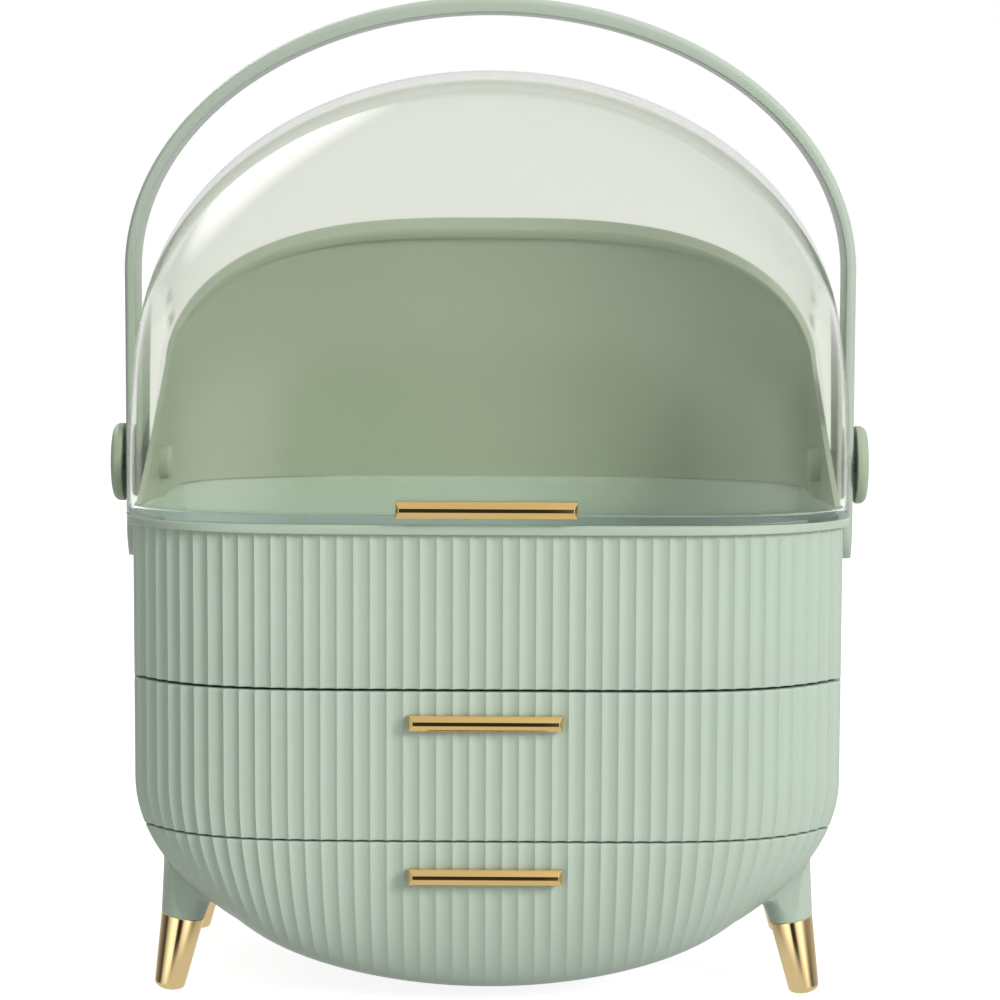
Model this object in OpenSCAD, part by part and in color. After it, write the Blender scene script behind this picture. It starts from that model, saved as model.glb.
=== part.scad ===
/* [Body] */
// Width of the body across its straight sides
body_w = 300; // [270:1:330]
// Depth of the body from the middle of the front to the middle of the back
body_d = 210; // [190:1:240]
// Depth of the straight part of each side
side_d = 134; // [120:1:150]
// Radius of the upright corners
corner_r = 8.5; // [4:0.5:10]
// Angle by which the bowed front has turned where it meets the corner
bow_slope = 51; // [40:1:58]
// Height at which the sides start to curve in to the bowl
egg_z = 95; // [85:1:110]
// Height of the lowest point of the bowl
bowl_z = 8; // [4:0.5:12]
// How far the front rolls under along the bottom of the bowl
roll_under = 24; // [12:1:30]
// Thickness of the moulded outer walls
wall = 3; // [2:0.2:4]

/* [Flutes] */
// Distance between neighbouring ridges
flute_pitch = 6.8; // [5:0.1:9]
// Depth of a flute below its ridges
flute_depth = 0.9; // [0.4:0.1:1.4]

/* [Levels] */
// Seam between the lower and the upper drawer
seam_low = 75; // [66:1:82]
// Seam between the upper drawer and the bin
seam_high = 139; // [128:1:146]
// Top of the bin wall, under the rim band
bin_top = 203.5; // [190:0.5:220]
// Height of the rim band
rim_h = 4; // [3:0.5:6]
// How far the rim band stands out from the body
rim_out = 2.5; // [2:0.5:6]

/* [Drawers] */
// Gap above each drawer front
front_gap = 0.8; // [0.4:0.1:1.5]
// Thickness of the drawer fronts
front_wall = 3.2; // [2.4:0.2:4.5]
// Thickness of the walls of the drawer boxes
box_wall = 2; // [1.4:0.2:3]
// Length of a drawer box behind its front
box_d = 122; // [100:1:126]
// Free height between a drawer box and what is above it
box_headroom = 5; // [3:0.5:10]
// Width of a runner, from the wall to its free edge
runner_w = 6.5; // [5.5:0.5:8]
// Height of a runner
runner_h = 5; // [4:0.5:8]
// Clearance between a drawer and what it slides on
slide_gap = 0.35; // [0.2:0.05:0.6]

/* [Cover and hood] */
// Height of the hinge pins above the rim
pivot_up = 15.8; // [12:0.2:20]
// Height of the cover above the hinge pins
dome_h = 172.5; // [150:0.5:190]
// Thickness of the clear cover
cover_t = 2.2; // [1.6:0.1:3]
// Thickness of the hood
hood_t = 2.6; // [2:0.1:3.4]
// Gap between the cover and the hood
nest_gap = 0.8; // [0.5:0.1:1.4]
// Angle at which the hood ends and the cover begins, from the back
hood_angle = 53; // [45:1:65]
// Height of the thick clear edge round the foot of the cover
flange_h = 4.4; // [3:0.2:7]

/* [Handle] */
// Gap between the cover and each arm of the handle
arm_gap = 2.2; // [2:0.2:5]
// Thickness of the arms
arm_t = 5; // [4:0.1:7]
// Thickness of the handle at the top of the arch
grip_t = 7.2; // [6:0.1:9]
// Width of the handle, front to back
strap_w = 28; // [20:1:32]
// Height at which the arms start to bend into the arch
arch_z = 308; // [290:1:330]
// Height of the top of the handle
handle_top = 427.5; // [400:0.5:450]
// How far the arms reach below the hinge pins
arm_tail = 42; // [25:1:50]

/* [Hinge pins] */
// Diameter of the hinge pins
pin_d = 6; // [4:0.5:8]
// Running clearance round a hinge pin, on the radius
pin_gap = 0.08; // [0.03:0.01:0.1]
// Diameter of the round caps outside the arms
cap_d = 34.4; // [26:0.2:40]
// Thickness of the round caps
cap_t = 5; // [4:0.5:8]
// Gap between each cap and its arm
cap_gap = 1.1; // [0.3:0.1:2]
// Diameter of the round bosses inside the hood
boss_d = 15; // [12:0.5:20]
// Thickness of the round bosses
boss_t = 5.8; // [3:0.2:8]

/* [Pulls] */
// Length of the drawer pulls
pull_l = 63.5; // [40:0.5:90]
// Height of the drawer pulls
pull_h = 6.5; // [5:0.5:10]
// How far a pull stands out
pull_out = 6; // [4:0.5:10]
// Height of the middle of the upper pull
pull_high_z = 125.5; // [100:0.5:132]
// Height of the middle of the lower pull
pull_low_z = 61; // [46:0.5:66]
// Length of the pull on the cover
cover_pull_l = 74.5; // [50:0.5:100]
// Height of the pull on the cover
cover_pull_h = 7; // [5:0.1:10]
// Height of the middle of the cover's pull above the rim
cover_pull_up = 6.9; // [5:0.1:10]

/* [Legs] */
// Distance between the left and the right legs at the floor
leg_span_x = 275; // [250:1:290]
// Distance between the front and the back legs
leg_span_y = 112; // [80:1:114]
// Lean of the legs, outward to each side
leg_lean = 11; // [0:0.2:15]
// Height of the gold tips
tip_h = 33; // [20:1:40]
// Diameter at the top of the gold tips
tip_top_d = 18.5; // [14:0.5:22]
// Diameter at the foot of the gold tips
tip_foot_d = 13.3; // [8:0.1:16]

/* [Screws] */
// Diameter of the screw shanks
screw_d = 3; // [2.5:0.5:4]
// Clearance round a screw, on the radius
screw_gap = 0.1; // [0.05:0.05:0.3]

/* [Hidden] */
$fn = 64;
sage = [0.70, 0.77, 0.70];
sage_pale = [0.76, 0.82, 0.75];
gold = [0.80, 0.66, 0.40];
clear = [0.85, 0.93, 0.92, 0.35];
steel = [0.72, 0.73, 0.75];

half_w = body_w / 2;
half_d = body_d / 2;
side_y = side_d / 2;
// The back plane of the drawer fronts, where the casing starts
split_y = side_y - 1;
bow_x = half_w - corner_r * (1 - sin(bow_slope));
bow_end = side_y + corner_r * cos(bow_slope);
bow = half_d - bow_end;
bow_power = tan(bow_slope) * bow_x / bow;
bowl_h = egg_z - bowl_z;
inward = 4;

rim_top = bin_top + rim_h;
pivot_z = rim_top + pivot_up;
cover_x = half_w + rim_out + 0.5;
cover_y = half_d + rim_out + 0.5;
arm_x = cover_x + arm_gap;
hood_in = cover_t + nest_gap;
handle_x = arm_x + arm_t;

// The frame's origin is under the middle of the whole object, pull to hood
flange_out = 1.5;
front_reach = cover_y + flange_out + pull_out;
back_reach = half_d + rim_out;
origin_shift = (front_reach - back_reach) / 2;

// Lengths along the bow, from its middle to its corner
bow_steps = 60;
bow_xs = [for (i = [0:bow_steps]) bow_x * i / bow_steps];
function bow_y(x) = -(bow_end + bow * (1 - pow(min(abs(x) / bow_x, 1), bow_power)));
function run(i) = norm([bow_xs[i + 1] - bow_xs[i], bow_y(bow_xs[i + 1]) - bow_y(bow_xs[i])]);
bow_runs = [
    for (i = 0, s = 0; i <= bow_steps; s = s + (i < bow_steps ? run(i) : 0), i = i + 1)
    [s, bow_xs[i]]
];
bow_len = bow_runs[bow_steps][0];
corner_len = corner_r * (90 - bow_slope) * PI / 180;
flutes = 2 * round(bow_len / flute_pitch);
flute_w = 2 * bow_len / flutes;
flute_cuts = 3;
corner_cuts = 3;

// Places along the front from left to right, with the place within its flute
fluted_places = concat(
    [for (i = [0:corner_cuts - 1]) [-bow_len - corner_len * (1 - i / corner_cuts), 0]],
    [for (i = [0:flutes * flute_cuts]) [-bow_len + i * flute_w / flute_cuts,
        (i % flute_cuts) / flute_cuts]],
    [for (i = [1:corner_cuts]) [bow_len + corner_len * i / corner_cuts, 0]]
);
smooth_cuts = 24;
smooth_places = [
    for (i = [0:smooth_cuts])
    [(bow_len + corner_len) * sin(-90 + 180 * i / smooth_cuts), 0]
];

function along(s) = abs(s) <= bow_len
    ? lookup(abs(s), bow_runs)
    : half_w - corner_r + corner_r * sin(turn(s));
function turn(s) = abs(s) <= bow_len
    ? atan(bow * bow_power / bow_x * pow(lookup(abs(s), bow_runs) / bow_x, bow_power - 1))
    : bow_slope + (abs(s) - bow_len) / corner_r * 180 / PI;
function front_y(s) = abs(s) <= bow_len
    ? bow_y(lookup(abs(s), bow_runs))
    : -side_y - corner_r * cos(turn(s));
function scallop(f) = 4 * f * (1 - f);
function side_of(s) = s < 0 ? -1 : 1;

// A point of the plan outline, taken in by a depth along its normal
function plan_point(place, inset) =
    let (s = place[0], d = inset + flute_depth * scallop(place[1]))
    [side_of(s) * (along(s) - d * sin(turn(s))), front_y(s) + d * cos(turn(s))];

// Half the width of the body at a height
function half_width(z) = z >= egg_z ? half_w
    : half_w * sqrt(max(0, 1 - pow((egg_z - z) / bowl_h, 2)));
// The share of the narrowing that a place along the front takes
function share(s) = pow(along(s) / half_w, inward);
// Where a ridge ends on the edge of the bowl
function end_x(s) = share(s) > 0.999 ? half_w * (inward - 1) / inward
    : (along(s) - half_w * share(s)) / (1 - share(s));
function end_z(s) = egg_z - bowl_h * sqrt(1 - pow(end_x(s) / half_w, 2));

// A point of the egg-shaped front. fall runs from 0 at the lower seam to 90 under the bowl.
function egg_point(place, z, fall, inset) =
    let (
        s = place[0],
        low = fall > 0 ? seam_low - (seam_low - end_z(s)) * sin(fall) : z,
        fade = fall > 0 ? pow(cos(fall), 0.6) * (1 - 0.8 * share(s) * sin(fall)) : 1,
        d = inset + flute_depth * scallop(place[1]) * fade,
        x = along(s) - (half_w - half_width(low)) * share(s),
        deep = -split_y - front_y(s) - 1,
        back = fall > 0 ? min(roll_under, max(deep, 0)) * (1 - cos(fall)) : 0,
        level = cos(fall)
    )
    [
        side_of(s) * max(0, x - d * sin(turn(s)) * level),
        min(front_y(s) + d * cos(turn(s)) * level + back, -split_y - 0.3),
        low + inset * sin(fall)
    ];

// A closed panel from rows of points, filled back to a flat plane
module panel(rows, back_y) {
    n = len(rows);
    m = len(rows[0]);
    flat = function(p) [p[0], back_y, p[2]];
    top = n * m;
    foot = top + m;
    left = foot + m;
    right = left + n;
    points = concat(
        [for (r = rows) for (p = r) p],
        [for (p = rows[0]) flat(p)],
        [for (p = rows[n - 1]) flat(p)],
        [for (r = rows) flat(r[0])],
        [for (r = rows) flat(r[m - 1])]
    );
    at = function(r, c) r * m + c;
    lf = function(r) r == 0 ? top : r == n - 1 ? foot : left + r;
    rt = function(r) r == 0 ? top + m - 1 : r == n - 1 ? foot + m - 1 : right + r;
    faces = concat(
        [for (r = [0:n - 2]) for (c = [0:m - 2]) each [
            [at(r, c), at(r, c + 1), at(r + 1, c + 1)],
            [at(r, c), at(r + 1, c + 1), at(r + 1, c)]
        ]],
        [for (c = [0:m - 2]) each [
            [top + c, top + c + 1, at(0, c + 1)],
            [top + c, at(0, c + 1), at(0, c)],
            [at(n - 1, c), at(n - 1, c + 1), foot + c + 1],
            [at(n - 1, c), foot + c + 1, foot + c]
        ]],
        [for (r = [0:n - 2]) each [
            [lf(r), at(r, 0), at(r + 1, 0)],
            [lf(r), at(r + 1, 0), lf(r + 1)],
            [at(r, m - 1), rt(r), rt(r + 1)],
            [at(r, m - 1), rt(r + 1), at(r + 1, m - 1)],
            [top + 1, lf(r), lf(r + 1)],
            [top + m - 2, rt(r + 1), rt(r)]
        ]],
        [[top + 1, foot, foot + 1], [top + m - 2, foot + m - 2, foot + m - 1]],
        [for (c = [1:m - 3]) each [
            [top + c + 1, top + c, foot + c],
            [top + c + 1, foot + c, foot + c + 1]
        ]]
    );
    polyhedron(points, faces, convexity = 6);
}

module placed() translate([0, origin_shift, 0]) children();

// The egg outline of the body seen from the front, taken in by a depth
function egg_outline(inset, top, cuts = 28) = concat(
    [[half_w - inset, top]],
    [for (i = [0:cuts]) [(half_w - inset) * cos(90 * i / cuts),
        egg_z - (bowl_h - inset) * sin(90 * i / cuts)]],
    [for (i = [cuts - 1:-1:0]) [-(half_w - inset) * cos(90 * i / cuts),
        egg_z - (bowl_h - inset) * sin(90 * i / cuts)]],
    [[-half_w + inset, top]]
);
// Draws a front outline and runs it from one depth to another
module run_back(y0, y1) translate([0, y1, 0]) rotate([90, 0, 0]) linear_extrude(y1 - y0) children();
// The whole plan outline, bowed in front and behind
function ring(places, inset) = concat(
    [for (p = places) plan_point(p, inset)],
    [for (i = [len(places) - 1:-1:0]) let (q = plan_point(places[i], inset)) [q[0], -q[1]]]
);
module tall(z0, z1) translate([0, 0, z0]) linear_extrude(z1 - z0) children();
module both_sides() {
    children();
    mirror([1, 0, 0]) children();
}
module both_ends() {
    children();
    mirror([0, 1, 0]) children();
}
// A cylinder lying along X or Y, from one place to another
module rod_x(r, x0, x1) translate([x0, 0, 0]) rotate([0, 90, 0]) cylinder(r = r, h = x1 - x0);
module rod_y(r, y0, y1) translate([0, y1, 0]) rotate([90, 0, 0]) cylinder(r = r, h = y1 - y0);

/* Casing */
shelf_t = 2.4;
inner_x = half_w - wall;
rail_high_z = 100;
rail_low_z = 57;
socket_h = 34;
screw_boss_r = 3.2;
screw_boss_l = 8.5;
bin_screw_x = inner_x - 5.5;
bin_boss_h = box_headroom - slide_gap;
bin_screw_y = side_y - 14;
back_screw_x = bin_screw_x;
back_screw_z = [86, 118];

// Bosses for the screws that hold the rear cover, webbed to the side walls
module back_bosses(y0, y1) both_sides() for (z = back_screw_z) translate([back_screw_x, 0, z]) {
    rod_y(screw_boss_r, y0, y1);
    run_back(y0, y1) translate([0, -screw_boss_r]) square([half_w - back_screw_x, 2 * screw_boss_r]);
}

// Bosses for the screws that hold the bin, webbed to the side walls
module bin_bosses(z0, z1) both_sides() both_ends() translate([bin_screw_x, bin_screw_y, z0]) {
    cylinder(r = screw_boss_r, h = z1 - z0);
    translate([0, -screw_boss_r, 0]) cube([half_w - bin_screw_x, 2 * screw_boss_r, z1 - z0]);
}

// Puts its children on a leg's leaning axis, with the floor at zero
module on_leg(sx, sy) translate([sx * leg_span_x / 2, sy * leg_span_y / 2, 0])
    rotate([0, -sx * leg_lean, 0]) children();
module at_legs() for (sx = [-1, 1], sy = [-1, 1]) on_leg(sx, sy) children();

module casing() color(sage) placed() difference() {
    union() {
        run_back(-split_y + 0.4, split_y) polygon(egg_outline(0, seam_high));
        intersection() {
            at_legs() translate([0, 0, tip_h]) cylinder(r1 = tip_top_d / 2, r2 = 14, h = socket_h);
            run_back(-split_y + 0.4, split_y) translate([-half_w, 0]) square([body_w, seam_high]);
        }
    }
    difference() {
        run_back(-split_y - 5, split_y + 5) polygon(egg_outline(wall, seam_high + 1));
        run_back(-split_y, split_y) translate([-half_w, seam_low - shelf_t / 2]) square([body_w, shelf_t]);
        bin_bosses(seam_high - bin_boss_h, seam_high);
        back_bosses(split_y - screw_boss_l, split_y);
    }
    both_sides() both_ends() translate([bin_screw_x, bin_screw_y, seam_high - bin_boss_h - 1])
        cylinder(r = screw_d / 2 + screw_gap, h = bin_boss_h + 2);
    both_sides() for (z = back_screw_z) translate([back_screw_x, 0, z])
        rod_y(screw_d / 2 + screw_gap, split_y - screw_boss_l, split_y + 1);
    at_legs() translate([0, 0, tip_h - 1]) cylinder(r = 3 + screw_gap, h = 13);
}

/* Rear cover, drawer fronts and drawer boxes */
falls = [for (i = [0:7]) 90 * i / 7];
smooth_falls = [for (i = [0:5]) 90 * i / 5];
function level_row(places, z, inset) = [for (p = places) egg_point(p, z, 0, inset)];
function fall_row(places, fall, inset) = [for (p = places) egg_point(p, 0, fall, inset)];
function levels(top, foot) = concat([top], [for (z = [egg_z, egg_z - 13]) if (z < top && z > foot) z], [foot]);
skin = front_wall + flute_depth;

module rear_cover() color(sage) placed() mirror([0, 1, 0]) difference() {
    panel(concat(
        [for (z = levels(seam_high, seam_low)) level_row(fluted_places, z, 0)],
        [for (i = [1:7]) fall_row(fluted_places, falls[i], 0)]), -split_y);
    difference() {
        panel(concat(
            [for (z = levels(seam_high - wall, seam_low)) level_row(smooth_places, z, skin)],
            [for (i = [1:5]) fall_row(smooth_places, smooth_falls[i], skin)]), -split_y + 1);
        back_bosses(-half_d, -split_y + 2);
    }
    both_sides() for (z = back_screw_z) translate([back_screw_x, 0, z]) {
        rod_y(screw_d / 2 + screw_gap, -half_d, -split_y + 1);
        rod_y(screw_d + screw_gap, -half_d, -split_y - 3);
    }
}
module rear_screws() color(steel) placed() both_sides() for (z = back_screw_z)
    translate([back_screw_x, 0, z]) {
        rod_y(screw_d / 2, split_y - screw_boss_l + 1, split_y + 3.5);
        rod_y(screw_d, split_y + 3, split_y + 4.8);
    }

pull_hole_x = pull_l / 2 - 8;
high_front_top = seam_high - front_gap;
high_front_foot = seam_low + front_gap / 2;
low_front_top = seam_low - front_gap / 2;
high_box_floor = seam_low + shelf_t / 2 + slide_gap;
module pull_holes(z) both_sides() translate([pull_hole_x, 0, z])
    rod_y(screw_d / 2 + screw_gap, -half_d - 1, -half_d + skin + 1);

module upper_drawer_front() color(sage) placed() difference() {
    panel([for (z = levels(high_front_top, high_front_foot)) level_row(fluted_places, z, 0)], -split_y);
    panel([for (z = levels(high_front_top + 1, high_box_floor + box_wall)) level_row(smooth_places, z, skin)],
        -split_y + 1);
    pull_holes(pull_high_z);
}
module lower_drawer_front() color(sage) placed() difference() {
    panel(concat([level_row(fluted_places, low_front_top, 0)],
        [for (i = [1:7]) fall_row(fluted_places, falls[i], 0)]), -split_y);
    panel(concat([level_row(smooth_places, low_front_top + 1, skin)],
        [for (i = [1:5]) fall_row(smooth_places, smooth_falls[i], skin)]), -split_y + 1);
    pull_holes(pull_low_z);
}

box_in = wall + runner_w + slide_gap;
high_box_top = seam_high - box_headroom;
low_box_top = seam_low - shelf_t / 2 - box_headroom;
rib_h = 3;
high_box = half_w - box_in;
module frame_2d(half, z0, z1) translate([-half, z0]) square([2 * half, z1 - z0]);
module egg_2d(inset, top) intersection() {
    polygon(egg_outline(inset, seam_high));
    frame_2d(half_w, 0, top);
}
// The section of a drawer box from its outside, its inside and the room for a rib over each runner
module box_section(rail_z) difference() {
    union() {
        children(0);
        intersection() {
            children(2);
            frame_2d(half_w, rail_z + runner_h + slide_gap, rail_z + runner_h + slide_gap + rib_h);
        }
    }
    children(1);
}
module upper_drawer_box() color(sage_pale) placed() {
    run_back(-split_y, -split_y + box_d) box_section(rail_high_z) {
        frame_2d(high_box, high_box_floor, high_box_top);
        frame_2d(high_box - box_wall, high_box_floor + box_wall, high_box_top + 1);
        frame_2d(inner_x - slide_gap, high_box_floor, high_box_top);
    }
    run_back(-split_y + box_d - box_wall, -split_y + box_d) frame_2d(high_box, high_box_floor, high_box_top);
}
module lower_drawer_box() color(sage_pale) placed() {
    run_back(-split_y, -split_y + box_d) box_section(rail_low_z) {
        egg_2d(box_in, low_box_top);
        egg_2d(box_in + box_wall, low_box_top + 1);
        egg_2d(wall + slide_gap, low_box_top);
    }
    run_back(-split_y + box_d - box_wall, -split_y + box_d) egg_2d(box_in, low_box_top);
}

// Where the free edge of a runner stands, beside the drawer box
function runner_edge(rail_z) = slide_gap + (rail_z > seam_low ? high_box
    : high_box * sqrt(1 - pow((egg_z - rail_z - runner_h) / (bowl_h - box_in), 2)));
module runner(rail_z) color(sage_pale) placed()
    run_back(-split_y + 3, split_y - screw_boss_l - 1) intersection() {
        egg_2d(wall, seam_high);
        translate([runner_edge(rail_z), rail_z]) square([half_w, runner_h]);
    }
module left_of() mirror([1, 0, 0]) children();

/* Bin and rim band */
exact_places = [
    for (i = [0:2 * smooth_cuts])
    [(bow_len + corner_len) * sin(-90 + 90 * i / smooth_cuts), 0]
];
module bin() color(sage) placed() difference() {
    tall(seam_high, bin_top) polygon(ring(fluted_places, 0));
    tall(seam_high + wall, bin_top + 1) polygon(ring(exact_places, skin));
    both_sides() both_ends() translate([bin_screw_x, bin_screw_y, seam_high - 1])
        cylinder(r = screw_d / 2 + screw_gap, h = wall + 2);
}
module bin_screws() color(steel) placed() both_sides() both_ends()
    translate([bin_screw_x, bin_screw_y, seam_high - bin_boss_h]) {
        cylinder(r = screw_d / 2, h = bin_boss_h + wall + 0.5);
        translate([0, 0, bin_boss_h + wall]) cylinder(r = screw_d, h = 1.8);
    }
module rim_band() color(sage_pale) placed() difference() {
    tall(bin_top, rim_top) polygon(ring(exact_places, -rim_out));
    tall(bin_top - 1, rim_top + 1) polygon(ring(exact_places, skin));
}

/* Hood and cover, drawn round the hinge pins */
foot_share = 0.6;
top_share = 0.305;
foot_round = [5, 1.8];
top_round = [2, 2];
dome_cuts = 12;
straight_cuts = 2;
// How much of the squarer foot the hood takes, so that the cover swings back over it
hood_square = 0.5;
function dome_reach(t, inset) = 1 / norm([cos(t) / (cover_y - inset), sin(t) / (dome_h - inset)]);
function mix(a, b, m) = a * (1 - m) + b * m;
function foot_part(way, t) = way < 0 ? pow(cos(t), 2)
    : mix(pow(cos(hood_angle), 2), pow(cos(t), 2), hood_square);
// Half of a section through the hinge axis, at an angle from the back: [distance across, distance out]
function dome_half(way, t, inset) =
    let (
        m = foot_part(way, t),
        f = mix(top_share, foot_share, m),
        p = mix(top_round, foot_round, m),
        w = cover_x - inset,
        r = dome_reach(t, inset)
    )
    concat(
        [for (i = [0:straight_cuts - 1]) [w, r * f * (0.06 + 0.94 * i / straight_cuts)]],
        [for (i = [0:dome_cuts]) let (a = 90 * i / dome_cuts)
            [w * pow(max(cos(a), 0), 2 / p[0]), r * (f + (1 - f) * pow(sin(a), 2 / p[1]))]]
    );
// A row of points at an angle, from left to right on the cover (way -1) or right to left on the hood (way 1)
function dome_row(way, t, inset, drop = 0) =
    let (h = dome_half(way, t, inset), n = len(h))
    [for (i = [-n + 1:n - 1]) let (q = h[n - 1 - abs(i)])
        [way * (i < 0 ? q[0] : -q[0]) * (i == 0 ? 0 : 1), q[1] * cos(t), q[1] * sin(t) + pivot_z - drop]];

// A closed shell between an outer and an inner set of rows
module shell(outer, inner) {
    n = len(outer);
    m = len(outer[0]);
    o = function(r, c) r * m + c;
    i = function(r, c) (n + r) * m + c;
    faces = concat(
        [for (r = [0:n - 2]) for (c = [0:m - 2]) each [
            [o(r, c), o(r, c + 1), o(r + 1, c + 1)],
            [o(r, c), o(r + 1, c + 1), o(r + 1, c)],
            [i(r, c), i(r + 1, c + 1), i(r, c + 1)],
            [i(r, c), i(r + 1, c), i(r + 1, c + 1)]
        ]],
        [for (c = [0:m - 2]) each [
            [i(0, c), i(0, c + 1), o(0, c + 1)],
            [i(0, c), o(0, c + 1), o(0, c)],
            [o(n - 1, c), o(n - 1, c + 1), i(n - 1, c + 1)],
            [o(n - 1, c), i(n - 1, c + 1), i(n - 1, c)]
        ]],
        [for (r = [0:n - 2]) each [
            [i(r, 0), o(r, 0), o(r + 1, 0)],
            [i(r, 0), o(r + 1, 0), i(r + 1, 0)],
            [o(r, m - 1), i(r, m - 1), i(r + 1, m - 1)],
            [o(r, m - 1), i(r + 1, m - 1), o(r + 1, m - 1)]
        ]]
    );
    polyhedron(concat([for (r = outer) each r], [for (r = inner) each r]), faces, convexity = 6);
}

ear_r = pivot_up - 0.6;
cover_overlap = 3;
foot_gap = 0.3;
cover_pull_y = -cover_y - flange_out;
cover_pull_hole = cover_pull_l / 2 - 8;
cover_pull_z = rim_top + cover_pull_up;
cover_angles = [for (i = [0:12]) hood_angle - cover_overlap + (180 - hood_angle + cover_overlap) * i / 12];
module pivot_at(x0, x1, r) both_sides() translate([0, 0, pivot_z]) rod_x(r, x0, x1);

module clear_cover() color(clear) placed() difference() {
    union() {
        shell(
            concat([for (t = cover_angles) dome_row(-1, t, 0)],
                [dome_row(-1, 180, 0, pivot_up - flange_h),
                    dome_row(-1, 180, -flange_out, pivot_up - flange_h + 0.5),
                    dome_row(-1, 180, -flange_out, pivot_up - foot_gap)]),
            concat([for (t = cover_angles) dome_row(-1, t, cover_t)],
                [dome_row(-1, 180, cover_t, pivot_up - flange_h),
                    dome_row(-1, 180, cover_t, pivot_up - flange_h + 0.5),
                    dome_row(-1, 180, cover_t, pivot_up - foot_gap)]));
        pivot_at(cover_x - cover_t, cover_x, ear_r);
    }
    pivot_at(cover_x - cover_t - 1, cover_x + 1, pin_d / 2 + pin_gap);
    both_sides() translate([cover_pull_hole, 0, cover_pull_z])
        rod_y(screw_d / 2 + screw_gap, cover_pull_y - 1, -cover_y + cover_t + 1);
}

bead_t = 6.5;
// Each side of the hood runs forward along the rim, under a straight edge with a rounded top
// The wing stops this far behind the front of the cover
wing_setback = 46;
wing_reach = cover_y - wing_setback;
wing_slope = 30;
wing_bend = [24, 8];
wing_tip = 2;
wing_out = (wing_reach * sin(wing_slope) - (pivot_up - wing_tip) * cos(wing_slope))
    / sin(hood_angle - wing_slope);
wing_top = wing_out * [cos(hood_angle), sin(hood_angle)];
function wing_edge(u) = wing_top - pow(1 - u, 2) * wing_bend[0] * [cos(wing_slope), sin(wing_slope)]
    + pow(u, 2) * wing_bend[1] * [cos(hood_angle), sin(hood_angle)];
wing_outline = concat(
    [[wing_reach / 2, -pivot_up], [-wing_reach, -pivot_up], [-wing_reach, wing_tip - pivot_up]],
    [for (i = [0:5]) wing_edge(i / 5)]
);
hood_angles = [for (i = [0:5]) (hood_angle - 2.5) * (1 - i / 5)];
module back_hood() color(sage) placed() difference() {
    union() {
        shell(
            concat([for (t = concat([hood_angle, hood_angle - 2], hood_angles)) dome_row(1, t, hood_in)],
                [dome_row(1, 0, hood_in, pivot_up)]),
            concat([dome_row(1, hood_angle, hood_in + bead_t), dome_row(1, hood_angle - 2, hood_in + bead_t)],
                [for (t = hood_angles) dome_row(1, t, hood_in + hood_t)],
                [dome_row(1, 0, hood_in + hood_t, pivot_up)]));
        both_sides() translate([cover_x - hood_in - hood_t, 0, pivot_z]) rotate([90, 0, 90])
            linear_extrude(hood_t) polygon(wing_outline);
    }
    pivot_at(cover_x - hood_in - bead_t - 1, cover_x - hood_in + 1, pin_d / 2 + pin_gap);
    pivot_at(cover_x - hood_in - bead_t - 1, cover_x - hood_in - hood_t, boss_d / 2 + 0.2);
}

/* Handle */
// A cross-section of the handle: [share of the thickness, share of half the width]
strap_section = [
    [1, 0], [0.9, 0.6], [0.6, 0.96], [0.2, 1], [0, 0.88],
    [0, -0.88], [0.2, -1], [0.6, -0.96], [0.9, -0.6]
];
arch_cuts = 30;
end_angles = [12, 35, 60, 90];
tail_z = pivot_z - arm_tail;
// Each row is [inner point, outer point, half the width]
arm_rows = [for (b = end_angles) let (z = tail_z + strap_w / 2 * (1 - cos(b)))
    [[arm_x, z], [handle_x, z], strap_w / 2 * sin(b)]];
arch_rows = [for (i = [0:arch_cuts]) let (a = 180 * i / arch_cuts) [
    [arm_x * cos(a), arch_z + (handle_top - grip_t - arch_z) * sin(a)],
    [handle_x * cos(a), arch_z + (handle_top - arch_z) * sin(a)],
    strap_w / 2
]];
function to_left(r) = [[-r[0][0], r[0][1]], [-r[1][0], r[1][1]], r[2]];
strap_rows = concat(arm_rows, arch_rows, [for (i = [len(arm_rows) - 1:-1:0]) to_left(arm_rows[i])]);
module carry_handle() color(sage) placed() difference() {
    n = len(strap_rows);
    m = len(strap_section);
    points = [for (r = strap_rows) for (q = strap_section) let (e = r[0] + (r[1] - r[0]) * q[0])
        [e[0], q[1] * r[2], e[1]]];
    polyhedron(points, concat(
        [for (i = [0:n - 2]) for (j = [0:m - 1]) let (k = (j + 1) % m) each [
            [i * m + j, i * m + k, (i + 1) * m + k],
            [i * m + j, (i + 1) * m + k, (i + 1) * m + j]
        ]],
        [for (j = [1:m - 2]) [0, j + 1, j]],
        [for (j = [1:m - 2]) [(n - 1) * m, (n - 1) * m + j, (n - 1) * m + j + 1]]
    ), convexity = 6);
    pivot_at(arm_x - 1, handle_x + 1, pin_d / 2 + pin_gap);
}

/* Hinge pins, washers, bosses and caps */
washer_d = 14;
face_gap = 0.25;
boss_x = cover_x - hood_in - hood_t;
cap_x = handle_x + cap_gap;
module at_pivot(side) placed() mirror([side < 0 ? 1 : 0, 0, 0]) translate([0, 0, pivot_z]) children();
module hinge_pin(side) color(steel) at_pivot(side) rod_x(pin_d / 2, boss_x - boss_t + 1.5, cap_x + cap_t - 2);
module hinge_boss(side) color(sage) at_pivot(side) difference() {
    translate([boss_x, 0, 0]) rotate([0, -90, 0]) rotate_extrude()
        polygon([[0, 0], [boss_d / 2, 0], [boss_d / 2, boss_t - 1.5], [boss_d / 2 - 1.5, boss_t], [0, boss_t]]);
    rod_x(pin_d / 2, boss_x - boss_t + 1.5, boss_x + 1);
}
module hinge_washer(side) color(sage_pale) at_pivot(side) difference() {
    rod_x(washer_d / 2, cover_x + face_gap, arm_x - face_gap);
    rod_x(pin_d / 2 + pin_gap, cover_x - 1, arm_x + 1);
}
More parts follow.
